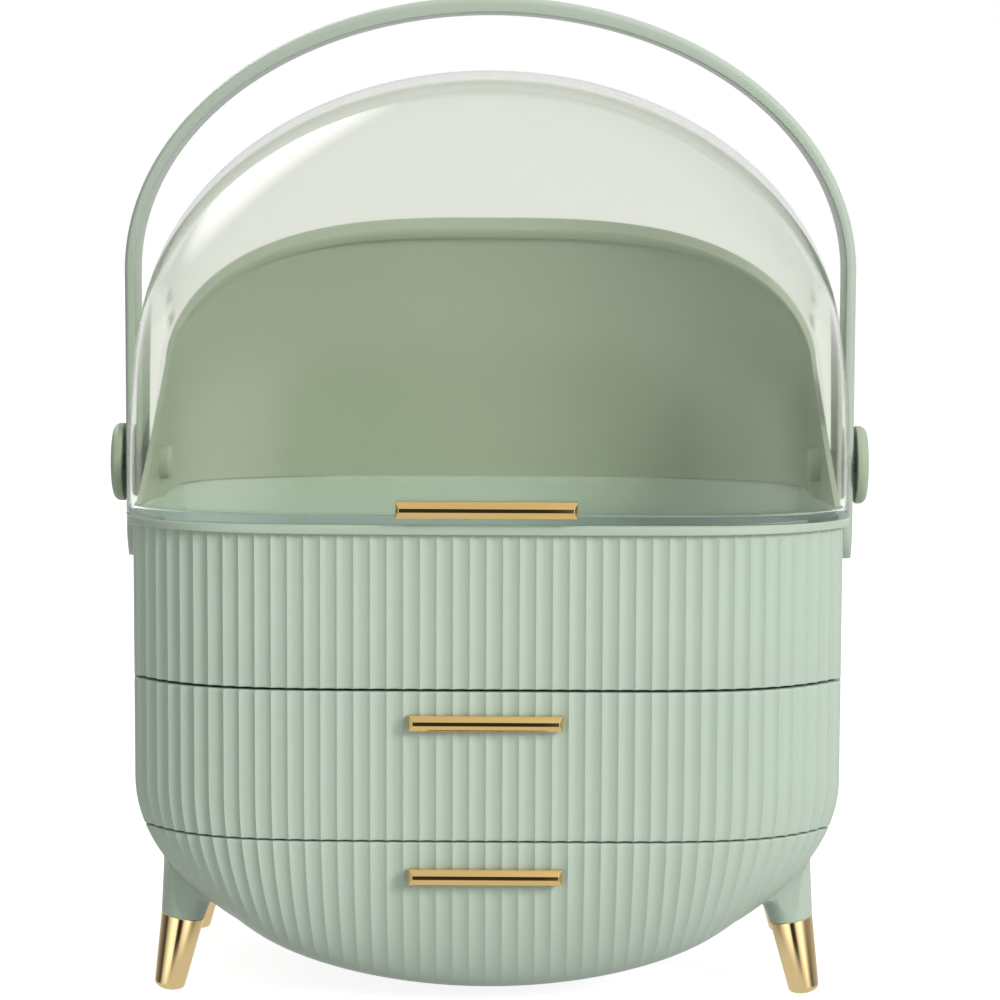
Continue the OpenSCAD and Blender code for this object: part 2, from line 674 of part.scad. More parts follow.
module hinge_cap(side) color(sage) at_pivot(side) difference() {
    translate([cap_x, 0, 0]) rotate([0, 90, 0]) rotate_extrude() polygon(concat(
        [[0, 0], [cap_d / 2, 0], [cap_d / 2, cap_t - 2.4]],
        [for (a = [15:15:90]) [cap_d / 2 - 2.4 + 2.4 * cos(a), cap_t - 2.4 + 2.4 * sin(a) * 0.7]],
        [[0, cap_t]]));
    rod_x(pin_d / 2, cap_x - 1, cap_x + cap_t - 2);
}

/* Pulls and their screws */
// A bar with bevelled faces, mitred ends and a post behind each screw
module pull_bar(length, height, out, post) {
    ridge = 1.4;
    bevel = (height - ridge) / 2;
    hull() {
        translate([-length / 2, -out + bevel, -height / 2]) cube([length, out - bevel - post, height]);
        translate([-length / 2 + bevel, -out, -ridge / 2]) cube([length - 2 * bevel, 1, ridge]);
    }
}
module drawer_pull(z, sink) color(gold) placed() translate([0, -half_d, z]) difference() {
    union() {
        pull_bar(pull_l, pull_h, pull_out, 0.2);
        both_sides() translate([pull_hole_x, 0, 0]) rod_y(2.4, -1, sink);
    }
    both_sides() translate([pull_hole_x, 0, 0]) rod_y(screw_d / 2 + screw_gap, -3.2, 5);
}
// How far the rounding under the bowl has set the front back at a height
function set_back(z) = z > seam_low ? 0
    : roll_under * (1 - sqrt(1 - pow((seam_low - z) / (seam_low - end_z(0)), 2)));
// Screws from inside, through a wall whose inner face stands at y, into the pull
module pull_screws(hole_x, y, z, reach, head_r) color(steel) placed() both_sides() translate([hole_x, y, z]) {
    rod_y(screw_d / 2, -reach, 0.5);
    rod_y(head_r, 0.1, 1.9);
}
// The lower front leans, so its screws stand a little further in
module drawer_pull_screws(z)
    pull_screws(pull_hole_x, -half_d + skin + set_back(z) + (z > seam_low ? 0 : 0.25), z,
        skin + (z > seam_low ? 2.5 : 3), screw_d * 0.9);
module cover_pull_screws()
    pull_screws(cover_pull_hole, -cover_y + cover_t + 0.3, cover_pull_z,
        cover_t + flange_out + 2.5, screw_d * 0.75);
module cover_pull() color(gold) placed() translate([0, cover_pull_y, cover_pull_z]) difference() {
    union() {
        pull_bar(cover_pull_l, cover_pull_h, pull_out, 0.2);
        both_sides() translate([cover_pull_hole, 0, 0]) rod_y(2.4, -1, flange_out);
    }
    both_sides() translate([cover_pull_hole, 0, 0]) rod_y(screw_d / 2 + screw_gap, -3.2, flange_out + 1);
}

/* Leg tips */
tip_round = 3;
spigot_h = 11;
module leg_tip(sx, sy) color(gold) placed() intersection() {
    on_leg(sx, sy) union() {
        rotate_extrude() polygon(concat(
            [[0, tip_h], [tip_top_d / 2, tip_h], [tip_foot_d / 2, tip_round]],
            [for (a = [15:15:75]) [tip_foot_d / 2 - tip_round * (1 - cos(a)), tip_round * (1 - sin(a))]],
            [[tip_foot_d / 2 - tip_round, -2], [0, -2]]));
        cylinder(r = 3, h = tip_h + spigot_h);
    }
    translate([-half_w, -half_d, 0]) cube([body_w, body_d, seam_low]);
}

casing();
rear_cover();
rear_screws();
bin();
bin_screws();
rim_band();
back_hood();
clear_cover();
cover_pull();
cover_pull_screws();
carry_handle();
hinge_pin(-1);  // hinge_pin_left
hinge_pin(1);  // hinge_pin_right
hinge_boss(-1);  // hinge_boss_left
hinge_boss(1);  // hinge_boss_right
hinge_washer(-1);  // hinge_washer_left
hinge_washer(1);  // hinge_washer_right
hinge_cap(-1);  // hinge_cap_left
hinge_cap(1);  // hinge_cap_right
upper_drawer_front();
upper_drawer_box();
drawer_pull(pull_high_z, 0);  // upper_drawer_pull
drawer_pull_screws(pull_high_z);  // upper_pull_screws
lower_drawer_front();
lower_drawer_box();
drawer_pull(pull_low_z, set_back(pull_low_z) - 0.2);  // lower_drawer_pull
drawer_pull_screws(pull_low_z);  // lower_pull_screws
left_of() runner(rail_high_z);  // upper_runner_left
runner(rail_high_z);  // upper_runner_right
left_of() runner(rail_low_z);  // lower_runner_left
runner(rail_low_z);  // lower_runner_right
leg_tip(-1, -1);  // leg_tip_front_left
leg_tip(1, -1);  // leg_tip_front_right
leg_tip(-1, 1);  // leg_tip_back_left
leg_tip(1, 1);  // leg_tip_back_right
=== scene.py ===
import bpy
import bmesh
import math
from mathutils import Matrix, Vector


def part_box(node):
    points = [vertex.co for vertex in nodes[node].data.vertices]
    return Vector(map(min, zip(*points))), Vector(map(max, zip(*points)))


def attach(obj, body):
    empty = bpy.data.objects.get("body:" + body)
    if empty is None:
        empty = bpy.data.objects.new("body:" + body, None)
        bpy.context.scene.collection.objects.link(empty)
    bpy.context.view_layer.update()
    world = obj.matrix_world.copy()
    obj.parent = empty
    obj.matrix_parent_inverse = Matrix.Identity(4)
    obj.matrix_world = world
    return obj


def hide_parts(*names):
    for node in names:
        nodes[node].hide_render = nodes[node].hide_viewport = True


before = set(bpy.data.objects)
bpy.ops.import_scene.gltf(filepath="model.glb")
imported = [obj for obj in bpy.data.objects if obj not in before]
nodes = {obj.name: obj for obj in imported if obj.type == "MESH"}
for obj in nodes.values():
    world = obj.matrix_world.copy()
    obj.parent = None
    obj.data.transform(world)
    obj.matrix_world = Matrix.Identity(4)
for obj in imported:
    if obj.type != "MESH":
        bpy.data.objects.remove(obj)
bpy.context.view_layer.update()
print("frame loaded:", len(nodes), "nodes")

mm = 0.001


# low or high edge of a node along an axis, in millimetres
def edge(node, side, axis):
    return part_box(node)[side][axis] / mm


def mix(a, b, share):
    return a + (b - a) * share


# evenly from one value to another
def spread(first, last, cuts):
    return [mix(first, last, i / cuts) for i in range(cuts + 1)]


# the cover, the hood and the handle are drawn round the hinge pins
pivotY = (edge("hinge_pin_left", 0, 1) + edge("hinge_pin_left", 1, 1)) / 2
pivotZ = (edge("hinge_pin_left", 0, 2) + edge("hinge_pin_left", 1, 2)) / 2


# millimetres, with the hinge pins at y = 0, to metres in the frame
def point(x, y, z):
    return Vector((x * mm, (y + pivotY) * mm, z * mm))


def newObject(name, data):
    obj = bpy.data.objects.new(name, data)
    bpy.context.scene.collection.objects.link(obj)
    return obj


def newMesh(name, bm):
    mesh = bpy.data.meshes.new(name)
    bm.to_mesh(mesh)
    bm.free()
    return mesh


camera = {"distance": 1399.2, "side": 16.2, "height": 353.8, "pitch": 0.1046,
          "yaw": 0.0083, "roll": 0.0038, "focalInFrames": 3.172, "sensor": 36}


def makeCamera():
    data = bpy.data.cameras.new("camera")
    data.sensor_width = camera["sensor"]
    data.lens = camera["sensor"] * camera["focalInFrames"]
    data.clip_start = 0.05
    data.clip_end = 60
    obj = newObject("camera", data)
    pitch, yaw, roll = camera["pitch"], camera["yaw"], camera["roll"]
    ahead = Vector((-math.sin(yaw) * math.cos(pitch), math.cos(yaw) * math.cos(pitch), -math.sin(pitch)))
    right = Vector((math.cos(yaw), math.sin(yaw), 0))
    up = right.cross(ahead)
    rolledRight = right * math.cos(roll) + up * math.sin(roll)
    rolledUp = up * math.cos(roll) - right * math.sin(roll)
    axes = Matrix((rolledRight, rolledUp, -ahead)).transposed().to_4x4()
    obj.matrix_world = Matrix.Translation(point(camera["side"], -camera["distance"], camera["height"])) @ axes
    bpy.context.scene.camera = obj


# a soft key from the right and front, a weak fill, and top and back lights
lights = [
    {"name": "keyLight", "at": (1.75, -1.8, 1.2), "size": 1.1, "power": 47, "tint": (1, 0.99, 0.995)},
    {"name": "fillLight", "at": (-1.2, -2.4, 0.9), "size": 1.1, "power": 6, "tint": (0.95, 1, 0.93)},
    {"name": "topLight", "at": (0.2, 0.2, 2.1), "size": 1.5, "power": 10, "tint": (1, 1, 1)},
    {"name": "backLight", "at": (-0.7, 1.9, 1.3), "size": 1.4, "power": 8, "tint": (1, 1, 1)},
]


# pieces in this collection show no image of the lamps; the lamps still shine through them
lampFree = bpy.data.collections.new("lampFree")


def makeLights():
    target = point(0, 0, 190)
    for entry in lights:
        data = bpy.data.lights.new(entry["name"], "AREA")
        data.shape = "DISK"
        data.size = entry["size"]
        data.energy = entry["power"]
        data.color = entry["tint"]
        obj = newObject(entry["name"], data)
        obj.location = entry["at"]
        obj.rotation_mode = "QUATERNION"
        obj.rotation_quaternion = (target - obj.location).to_track_quat("-Z", "Y")
        obj.visible_glossy = False
        obj.light_linking.receiver_collection = lampFree


# the room: its soft light by height, and what shiny surfaces reflect, by height and by compass direction
studio = {
    "seen": 1.0, "floorRadius": 9, "floorTone": 0.5, "floorSeen": 0.86,
    "softStops": [(0.3, (0.095, 0.1, 0.088)), (0.5, (0.242, 0.272, 0.228)), (0.85, (0.42, 0.435, 0.405))],
    "stripStops": [(0, 0.5), (0.2, 0.12), (0.28, 0.03), (0.34, 0.5), (0.4, 1), (0.448, 0.75), (0.47, 0.02),
                   (0.518, 0.02), (0.55, 0.55), (0.61, 0.9), (0.66, 0.25), (0.695, 0.02), (0.76, 0.2),
                   (1, 0.5)],
    "stripLevel": 1.8,
    "aboveLevel": 0.75,
    "stripHeight": (0.24, 0.5),
    "spots": [{"toward": (-0.5, 0.5, 0.7), "edge": (0.93, 0.995), "level": 4.5},
              {"toward": (0.68, -0.6, 0.42), "edge": (0.6, 0.99), "level": 0.4}],
}


def addRamp(tree, place, stops):
    ramp = tree.nodes.new("ShaderNodeValToRGB")
    tree.links.new(place, ramp.inputs[0])
    marks = ramp.color_ramp.elements
    while len(marks) < len(stops):
        marks.new(0.5)
    for mark, (position, level) in zip(marks, stops):
        mark.position = position
        mark.color = (list(level) if isinstance(level, tuple) else [level] * 3) + [1]
    return ramp.outputs[0]


# links each socket to its value, or sets it when the value is a plain one
def feed(tree, sockets, values):
    for socket, value in zip(sockets, values):
        if isinstance(value, bpy.types.NodeSocket):
            tree.links.new(value, socket)
        else:
            socket.default_value = value


def addMath(tree, kind, *values):
    node = tree.nodes.new("ShaderNodeMath")
    node.operation = kind
    feed(tree, node.inputs, values)
    return node.outputs[0]


def addShaderMix(tree, *values):
    node = tree.nodes.new("ShaderNodeMixShader")
    feed(tree, node.inputs, values)
    return node.outputs[0]


def addSmoothStep(tree, value, low, high, result=1):
    node = tree.nodes.new("ShaderNodeMapRange")
    node.interpolation_type = "SMOOTHSTEP"
    node.inputs["From Min"].default_value = low
    node.inputs["From Max"].default_value = high
    node.inputs["To Max"].default_value = result
    tree.links.new(value, node.inputs["Value"])
    return node.outputs["Result"]


# bright strips and a dark one straight ahead, an even tone above and below, and two soft spots
def addMirrored(tree, direction, split):
    back = addMath(tree, "MULTIPLY", split.outputs["Y"], -1)
    compass = addMath(tree, "ARCTAN2", split.outputs["X"], back)
    around = addMath(tree, "ADD", addMath(tree, "DIVIDE", compass, 2 * math.pi), 0.5)
    strips = addMath(tree, "MULTIPLY", addRamp(tree, around, studio["stripStops"]), studio["stripLevel"])
    height = addMath(tree, "ABSOLUTE", split.outputs["Z"])
    share = addSmoothStep(tree, height, *studio["stripHeight"])
    high = addMath(tree, "MULTIPLY", share, studio["aboveLevel"])
    low = addMath(tree, "MULTIPLY", strips, addMath(tree, "SUBTRACT", 1, share))
    total = addMath(tree, "ADD", high, low)
    for spot in studio["spots"]:
        toward = tree.nodes.new("ShaderNodeVectorMath")
        toward.operation = "DOT_PRODUCT"
        tree.links.new(direction, toward.inputs[0])
        toward.inputs[1].default_value = Vector(spot["toward"]).normalized()
        glow = addSmoothStep(tree, toward.outputs["Value"], *spot["edge"], spot["level"])
        total = addMath(tree, "ADD", total, glow)
    return total


# the room looks plain white; it lights softly, and shiny surfaces reflect strips and spots
def makeWorld():
    world = bpy.data.worlds.new("studio")
    bpy.context.scene.world = world
    world.use_nodes = True
    tree = world.node_tree
    tree.nodes.clear()
    place = tree.nodes.new("ShaderNodeTexCoord")
    split = tree.nodes.new("ShaderNodeSeparateXYZ")
    tree.links.new(place.outputs["Generated"], split.inputs[0])
    height = addMath(tree, "MULTIPLY_ADD", split.outputs["Z"], 0.5, 0.5)
    soft = addRamp(tree, height, studio["softStops"])
    looks = [soft, addMirrored(tree, place.outputs["Generated"], split), None]
    shaders = []
    for look in looks:
        background = tree.nodes.new("ShaderNodeBackground")
        background.inputs["Color"].default_value = [studio["seen"]] * 3 + [1]
        if look:
            tree.links.new(look, background.inputs["Color"])
        shaders.append(background.outputs[0])
    path = tree.nodes.new("ShaderNodeLightPath")
    direct = addMath(tree, "MAXIMUM", path.outputs["Is Camera Ray"], path.outputs["Is Transmission Ray"])
    result = shaders[0]
    for share, shader in ((path.outputs["Is Glossy Ray"], shaders[1]), (direct, shaders[2])):
        result = addShaderMix(tree, share, result, shader)
    out = tree.nodes.new("ShaderNodeOutputWorld")
    tree.links.new(result, out.inputs["Surface"])


# a pale floor that looks white wherever it is lit
def makeFloor():
    bm = bmesh.new()
    sides = 96
    rim = [bm.verts.new((studio["floorRadius"] * math.cos(2 * math.pi * i / sides),
                         studio["floorRadius"] * math.sin(2 * math.pi * i / sides), 0)) for i in range(sides)]
    bm.faces.new(rim)
    obj = newObject("floor", newMesh("floor", bm))
    material = bpy.data.materials.new("paleFloor")
    material.use_nodes = True
    tree = material.node_tree
    skin = tree.nodes["Principled BSDF"]
    skin.inputs["Base Color"].default_value = [studio["floorTone"]] * 3 + [1]
    skin.inputs["Roughness"].default_value = 0.9
    skin.inputs["Specular IOR Level"].default_value = 0.1
    path = tree.nodes.new("ShaderNodeLightPath")
    seen = addMath(tree, "MAXIMUM", path.outputs["Is Camera Ray"], path.outputs["Is Transmission Ray"])
    glow = tree.nodes.new("ShaderNodeEmission")
    glow.inputs["Strength"].default_value = studio["floorSeen"]
    add = tree.nodes.new("ShaderNodeAddShader")
    tree.links.new(skin.outputs[0], add.inputs[0])
    tree.links.new(glow.outputs[0], add.inputs[1])
    result = addShaderMix(tree, seen, skin.outputs[0], add.outputs[0])
    tree.links.new(result, tree.nodes["Material Output"].inputs["Surface"])
    obj.data.materials.append(material)
    obj.visible_glossy = False


makeCamera()
makeLights()
makeWorld()
makeFloor()
bpy.context.scene.view_settings.view_transform = "Standard"
print("camera, lights and floor placed")


# node groups shared by several finishes


# a group that puts out a colour, a roughness and a surface height
def newGroup(name, inputs):
    group = bpy.data.node_groups.new(name, "ShaderNodeTree")
    for label, kind, value in inputs:
        socket = group.interface.new_socket(name=label, in_out="INPUT", socket_type=kind)
        socket.default_value = value
    for label, kind in (("Color", "NodeSocketColor"), ("Roughness", "NodeSocketFloat"),
                        ("Height", "NodeSocketFloat")):
        group.interface.new_socket(name=label, in_out="OUTPUT", socket_type=kind)
    return group, group.nodes.new("NodeGroupInput"), group.nodes.new("NodeGroupOutput")


# a colour mix; the colour sockets of the node are the ones from number 6 on
def mixColours(tree, factor, first, second):
    node = tree.nodes.new("ShaderNodeMix")
    node.data_type = "RGBA"
    feed(tree, (node.inputs[0], node.inputs[6], node.inputs[7]), (factor, first, second))
    return node.outputs[2]


# puts out a tone, with the roughness and the surface height that follow a pattern
def endGroup(group, source, result, tone, pattern):
    rough = group.nodes.new("ShaderNodeMapRange")
    feed(group, [rough.inputs[name] for name in ("Value", "To Min", "To Max")],
         (pattern, source.outputs["Roughness Low"], source.outputs["Roughness High"]))
    feed(group, [result.inputs[name] for name in ("Color", "Roughness", "Height")],
         (tone, rough.outputs["Result"], pattern))
    return group


# faint cloudy tone of moulded plastic, with a fine surface height
def makeMouldedGroup():
    group, source, result = newGroup(
        "mouldedTone",
        [("Tone", "NodeSocketColor", (0.5, 0.5, 0.5, 1)), ("Shade", "NodeSocketColor", (0.4, 0.4, 0.4, 1)),
         ("Cloud Scale", "NodeSocketFloat", 14.0), ("Grain Scale", "NodeSocketFloat", 1600.0),
         ("Roughness Low", "NodeSocketFloat", 0.3), ("Roughness High", "NodeSocketFloat", 0.42)])
    make, link = group.nodes.new, group.links.new
    place = make("ShaderNodeTexCoord")
    cloud = make("ShaderNodeTexNoise")
    cloud.inputs["Detail"].default_value = 3
    link(place.outputs["Object"], cloud.inputs["Vector"])
    link(source.outputs["Cloud Scale"], cloud.inputs["Scale"])
    tone = mixColours(group, cloud.outputs["Fac"], source.outputs["Shade"], source.outputs["Tone"])
    grain = make("ShaderNodeTexNoise")
    grain.inputs["Detail"].default_value = 2
    link(place.outputs["Object"], grain.inputs["Vector"])
    link(source.outputs["Grain Scale"], grain.inputs["Scale"])
    return endGroup(group, source, result, tone, grain.outputs["Fac"])


# streaks along one axis, as on rolled and polished metal
def makeStreakGroup():
    group, source, result = newGroup(
        "polishedStreaks",
        [("Tone", "NodeSocketColor", (0.8, 0.6, 0.3, 1)), ("Shade", "NodeSocketColor", (0.6, 0.4, 0.2, 1)),
         ("Stretch", "NodeSocketVector", (40.0, 900.0, 900.0)), ("Roughness Low", "NodeSocketFloat", 0.1),
         ("Roughness High", "NodeSocketFloat", 0.2)])
    make, link = group.nodes.new, group.links.new
    place = make("ShaderNodeTexCoord")
    scale = make("ShaderNodeVectorMath")
    scale.operation = "MULTIPLY"
    link(place.outputs["Object"], scale.inputs[0])
    link(source.outputs["Stretch"], scale.inputs[1])
    streak = make("ShaderNodeTexNoise")
    streak.inputs["Scale"].default_value = 1
    streak.inputs["Detail"].default_value = 3
    link(scale.outputs[0], streak.inputs["Vector"])
    tone = mixColours(group, streak.outputs["Fac"], source.outputs["Shade"], source.outputs["Tone"])
    return endGroup(group, source, result, tone, streak.outputs["Fac"])


# a colour from 0-255 screen values to the linear values that a shader takes
def paint(red, green, blue):
    levels = [v / 255 for v in (red, green, blue)]
    return [v / 12.92 if v < 0.04045 else ((v + 0.055) / 1.055) ** 2.4 for v in levels] + [1]


plastics = {
    "sagePlastic": {"tone": (192, 207, 193), "shade": (187, 203, 189), "rough": (0.34, 0.46), "coat": 0.12},
    "rimPlastic": {"tone": (191, 205, 189), "shade": (186, 201, 185), "rough": (0.28, 0.38), "coat": 0.2},
    # the hood plastic is a darker copy of the body plastic: painted shade, as the hood looks in the shade
    # under the clear cover
    "shadedHoodPlastic": {"tone": (173, 183, 163), "shade": (167, 178, 158), "rough": (0.3, 0.42), "coat": 0.15},
    "handlePlastic": {"tone": (186, 198, 184), "shade": (181, 194, 180), "rough": (0.3, 0.42), "coat": 0.15},
    "capPlastic": {"tone": (172, 184, 163), "shade": (167, 180, 159), "rough": (0.36, 0.48), "coat": 0.1},
    # the inner plastic is a lighter copy of the body plastic: painted light that brightens the drawer boxes
    # and runners inside the body
    "litInnerPlastic": {"tone": (202, 214, 200), "shade": (197, 210, 196), "rough": (0.4, 0.52), "coat": 0.05},
}
metals = {
    "goldPull": {"tone": (240, 208, 142), "shade": (228, 190, 118), "stretch": (30, 700, 700),
                 "rough": (0.04, 0.08)},
    "goldTip": {"tone": (240, 214, 160), "shade": (230, 202, 146), "stretch": (420, 420, 26),
                "rough": (0.06, 0.11)},
    "screwSteel": {"tone": (205, 207, 210), "shade": (186, 188, 192), "stretch": (500, 500, 500),
                   "rough": (0.22, 0.34)},
}
plasticSkin = {"relief": (0.05, 0.00006), "ior": 1.48, "coatRough": 0.25}
metalRelief = (0.05, 0.00004)


def setInputs(node, values):
    for name, value in values.items():
        node.inputs[name].default_value = value


# a material whose tone, roughness and relief come from a group
def newFinish(name, group, look, relief):
    material = bpy.data.materials.new(name)
    material.use_nodes = True
    tree = material.node_tree
    skin = tree.nodes["Principled BSDF"]
    effect = tree.nodes.new("ShaderNodeGroup")
    effect.node_tree = group
    bump = tree.nodes.new("ShaderNodeBump")
    tree.links.new(effect.outputs["Color"], skin.inputs["Base Color"])
    tree.links.new(effect.outputs["Roughness"], skin.inputs["Roughness"])
    tree.links.new(effect.outputs["Height"], bump.inputs["Height"])
    tree.links.new(bump.outputs["Normal"], skin.inputs["Normal"])
    low, high = look["rough"]
    setInputs(effect, {"Tone": paint(*look["tone"]), "Shade": paint(*look["shade"]),
                       "Roughness Low": low, "Roughness High": high})
    setInputs(bump, {"Strength": relief[0], "Distance": relief[1]})
    return material, skin, effect


def makePlastic(name, group):
    look = plastics[name]
    material, skin, effect = newFinish(name, group, look, plasticSkin["relief"])
    setInputs(skin, {"IOR": plasticSkin["ior"], "Coat Weight": look["coat"],
                     "Coat Roughness": plasticSkin["coatRough"]})
    return material


def makeMetal(name, group):
    look = metals[name]
    material, skin, effect = newFinish(name, group, look, metalRelief)
    effect.inputs["Stretch"].default_value = look["stretch"]
    skin.inputs["Metallic"].default_value = 1
    return material


clearLook = {"tone": (243, 244, 239), "shade": (240, 242, 236), "foot": (214, 219, 226), "footHigh": 0.0042,
             "footBlend": 0.0006, "rough": (0.02, 0.05), "grain": 60, "relief": (0.02, 0.0004), "ior": 1.45,
             "shadow": (248, 250, 246), "sideTurn": (0.93, 0.975), "sideShine": 0.05}


# clear moulded acrylic with a cooler thick foot; its thin flat sides let the view through unbent
def makeClear(group):
    material, skin, effect = newFinish("clearAcrylic", group, clearLook, clearLook["relief"])
    tree = material.node_tree
    effect.inputs["Grain Scale"].default_value = clearLook["grain"]
    place = tree.nodes.new("ShaderNodeTexCoord")
    split = tree.nodes.new("ShaderNodeSeparateXYZ")
    tree.links.new(place.outputs["Object"], split.inputs[0])
    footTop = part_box("clear_cover")[0][2] + clearLook["footHigh"]
    upper = addSmoothStep(tree, split.outputs["Z"], footTop - clearLook["footBlend"], footTop)
    tone = mixColours(tree, upper, paint(*clearLook["foot"]), effect.outputs["Color"])
    tree.links.new(tone, skin.inputs["Base Color"])
    setInputs(skin, {"Transmission Weight": 1, "IOR": clearLook["ior"]})
    through = tree.nodes.new("ShaderNodeBsdfTransparent")
    through.inputs["Color"].default_value = paint(*clearLook["shadow"])
    gloss = tree.nodes.new("ShaderNodeBsdfGlossy")
    gloss.inputs["Roughness"].default_value = clearLook["rough"][0]
    turn = tree.nodes.new("ShaderNodeSeparateXYZ")
    tree.links.new(place.outputs["Normal"], turn.inputs[0])
    side = addSmoothStep(tree, addMath(tree, "ABSOLUTE", turn.outputs["X"]), *clearLook["sideTurn"])
    path = tree.nodes.new("ShaderNodeLightPath")
    result = skin.outputs[0]
    flat = addShaderMix(tree, clearLook["sideShine"], through.outputs[0], gloss.outputs[0])
    for share, shader in ((side, flat), (path.outputs["Is Shadow Ray"], through.outputs[0])):
        result = addShaderMix(tree, share, result, shader)
    tree.links.new(result, tree.nodes["Material Output"].inputs["Surface"])
    return material


moulded = makeMouldedGroup()
streaks = makeStreakGroup()
finishes = {name: makePlastic(name, moulded) for name in plastics}
finishes.update({name: makeMetal(name, streaks) for name in metals})
finishes["clearAcrylic"] = makeClear(moulded)
print("finishes made:", len(finishes))

carriedFinishes = {
    "casing": "sagePlastic", "rear_cover": "sagePlastic", "bin": "sagePlastic", "rim_band": "rimPlastic",
    "back_hood": "shadedHoodPlastic", "clear_cover": "clearAcrylic", "carry_handle": "handlePlastic",
    "upper_drawer_front": "sagePlastic", "lower_drawer_front": "sagePlastic",
    "hinge_boss": "shadedHoodPlastic", "hinge_washer": "handlePlastic", "hinge_cap": "capPlastic",
    "hinge_pin": "screwSteel", "screws": "screwSteel", "runner": "litInnerPlastic", "drawer_box": "litInnerPlastic",
    "pull": "goldPull", "leg_tip": "goldTip",
}


# every CAD node that stays gets the finish of the first name it holds
def dressNodes():
    for name, obj in nodes.items():
        key = next(k for k in carriedFinishes if k in name and not (k == "pull" and "screws" in name))
        obj.data.materials.clear()
        obj.data.materials.append(finishes[carriedFinishes[key]])


dressNodes()


# turns a built mesh into a piece that rides on a body and stands for CAD nodes, which it hides
def addPiece(name, bm, finish, rides, stands=(), sharp=60):
    bmesh.ops.recalc_face_normals(bm, faces=bm.faces)
    obj = newObject(name, newMesh(name, bm))
    obj.data.materials.append(finishes[finish])
    obj.data.shade_smooth()
    obj.data.set_sharp_from_angle(angle=math.radians(sharp))
    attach(obj, rides)
    if stands:
        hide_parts(*stands)
    return obj


# faces between neighbouring columns of points; each column is closed when it goes round a section
def joinColumns(bm, columns, closedColumns, closedRow, caps=True):
    verts = [[bm.verts.new(p) for p in column] for column in columns]
    count = len(verts)
    size = len(verts[0])
    for i in range(count if closedRow else count - 1):
        here, there = verts[i], verts[(i + 1) % count]
        for j in range(size if closedColumns else size - 1):
            k = (j + 1) % size
            bm.faces.new((here[j], there[j], there[k], here[k]))
    if caps and closedColumns and not closedRow:
        bm.faces.new(verts[0])
        bm.faces.new(list(reversed(verts[-1])))
    if caps and closedRow and not closedColumns:
        bm.faces.new([column[0] for column in verts])
        bm.faces.new([column[-1] for column in reversed(verts)])
    return verts


# cuts everything beyond a plane off and closes the cut
def cutFlat(bm, place, way):
    everything = bm.verts[:] + bm.edges[:] + bm.faces[:]
    bmesh.ops.bisect_plane(bm, geom=everything, plane_co=place, plane_no=way, clear_outer=True)
    bmesh.ops.contextual_create(bm, geom=[e for e in bm.edges if e.is_boundary])


body = {
    "halfWidth": edge("casing", 1, 0), "halfDepth": edge("bin", 1, 1) - pivotY, "sideY": 67, "splitY": 66,
    "cornerR": 8.5, "bowSlope": math.radians(51), "inward": 4, "eggZ": 95, "bowlZ": 8, "rollUnder": 24,
    "skin": 4.1, "fluteDepth": 1.1, "flutePitch": 6.8, "steps": 400,
    "seamLow": (edge("upper_drawer_front", 0, 2) + edge("lower_drawer_front", 1, 2)) / 2,
    "binFoot": edge("bin", 0, 2), "binTop": edge("bin", 1, 2), "rimTop": edge("rim_band", 1, 2),
    "wall": 3,
}
bowX = body["halfWidth"] - body["cornerR"] * (1 - math.sin(body["bowSlope"]))
bowEnd = body["sideY"] + body["cornerR"] * math.cos(body["bowSlope"])
bow = body["halfDepth"] - bowEnd
bowPower = math.tan(body["bowSlope"]) * bowX / bow


def bowY(x):
    return -(bowEnd + bow * (1 - (x / bowX) ** bowPower))


bowPoints = [(bowX * i / body["steps"], bowY(bowX * i / body["steps"])) for i in range(body["steps"] + 1)]
bowRuns = [0]
for first, second in zip(bowPoints, bowPoints[1:]):
    bowRuns.append(bowRuns[-1] + math.dist(first, second))
bowLen = bowRuns[-1]
cornerLen = body["cornerR"] * (math.pi / 2 - body["bowSlope"])
flutes = 2 * round(bowLen / body["flutePitch"])


# distance across, distance in front and the turn of the front, at a length from its middle
def planAt(s):
    length = abs(s)
    if length > bowLen:
        turn = body["bowSlope"] + (length - bowLen) / body["cornerR"]
        return (body["halfWidth"] - body["cornerR"] * (1 - math.sin(turn)),
                -body["sideY"] - body["cornerR"] * math.cos(turn), turn)
    low, high = 0, body["steps"]
    while high - low > 1:
        middle = (low + high) // 2
        low, high = (middle, high) if bowRuns[middle] <= length else (low, middle)
    x = mix(bowPoints[low][0], bowPoints[high][0], (length - bowRuns[low]) / (bowRuns[high] - bowRuns[low]))
    turn = math.atan(bow * bowPower / bowX * (x / bowX) ** (bowPower - 1))
    return x, bowY(x), turn


def scallop(part):
    return 4 * part * (1 - part)


# a flute has more cuts beside its ridges, so that they stay crisp
fluteCuts = [0, 0.045, 0.11, 0.2, 0.32, 0.5, 0.68, 0.8, 0.89, 0.955]
fluteWidth = 2 * bowLen / flutes
cornerCuts = 8
flutedPlaces = (
    [(-bowLen - cornerLen * (1 - i / cornerCuts), 0) for i in range(cornerCuts)]
    + [(-bowLen + (i + cut) * fluteWidth, cut) for i in range(flutes) for cut in fluteCuts]
    + [(bowLen + cornerLen * i / cornerCuts, 0) for i in range(cornerCuts + 1)])


def sideOf(s):
    return -1 if s < 0 else 1


# a point of the plan outline, taken in by a depth along its normal
def planPoint(place, inset, flutedShare, z):
    x, y, turn = planAt(place[0])
    depth = inset + body["fluteDepth"] * scallop(place[1]) * flutedShare
    return sideOf(place[0]) * (x - depth * math.sin(turn)), y + depth * math.cos(turn), z


def halfWidthAt(z):
    if z >= body["eggZ"]:
        return body["halfWidth"]
    share = (body["eggZ"] - z) / (body["eggZ"] - body["bowlZ"])
    return body["halfWidth"] * math.sqrt(max(0, 1 - share * share))


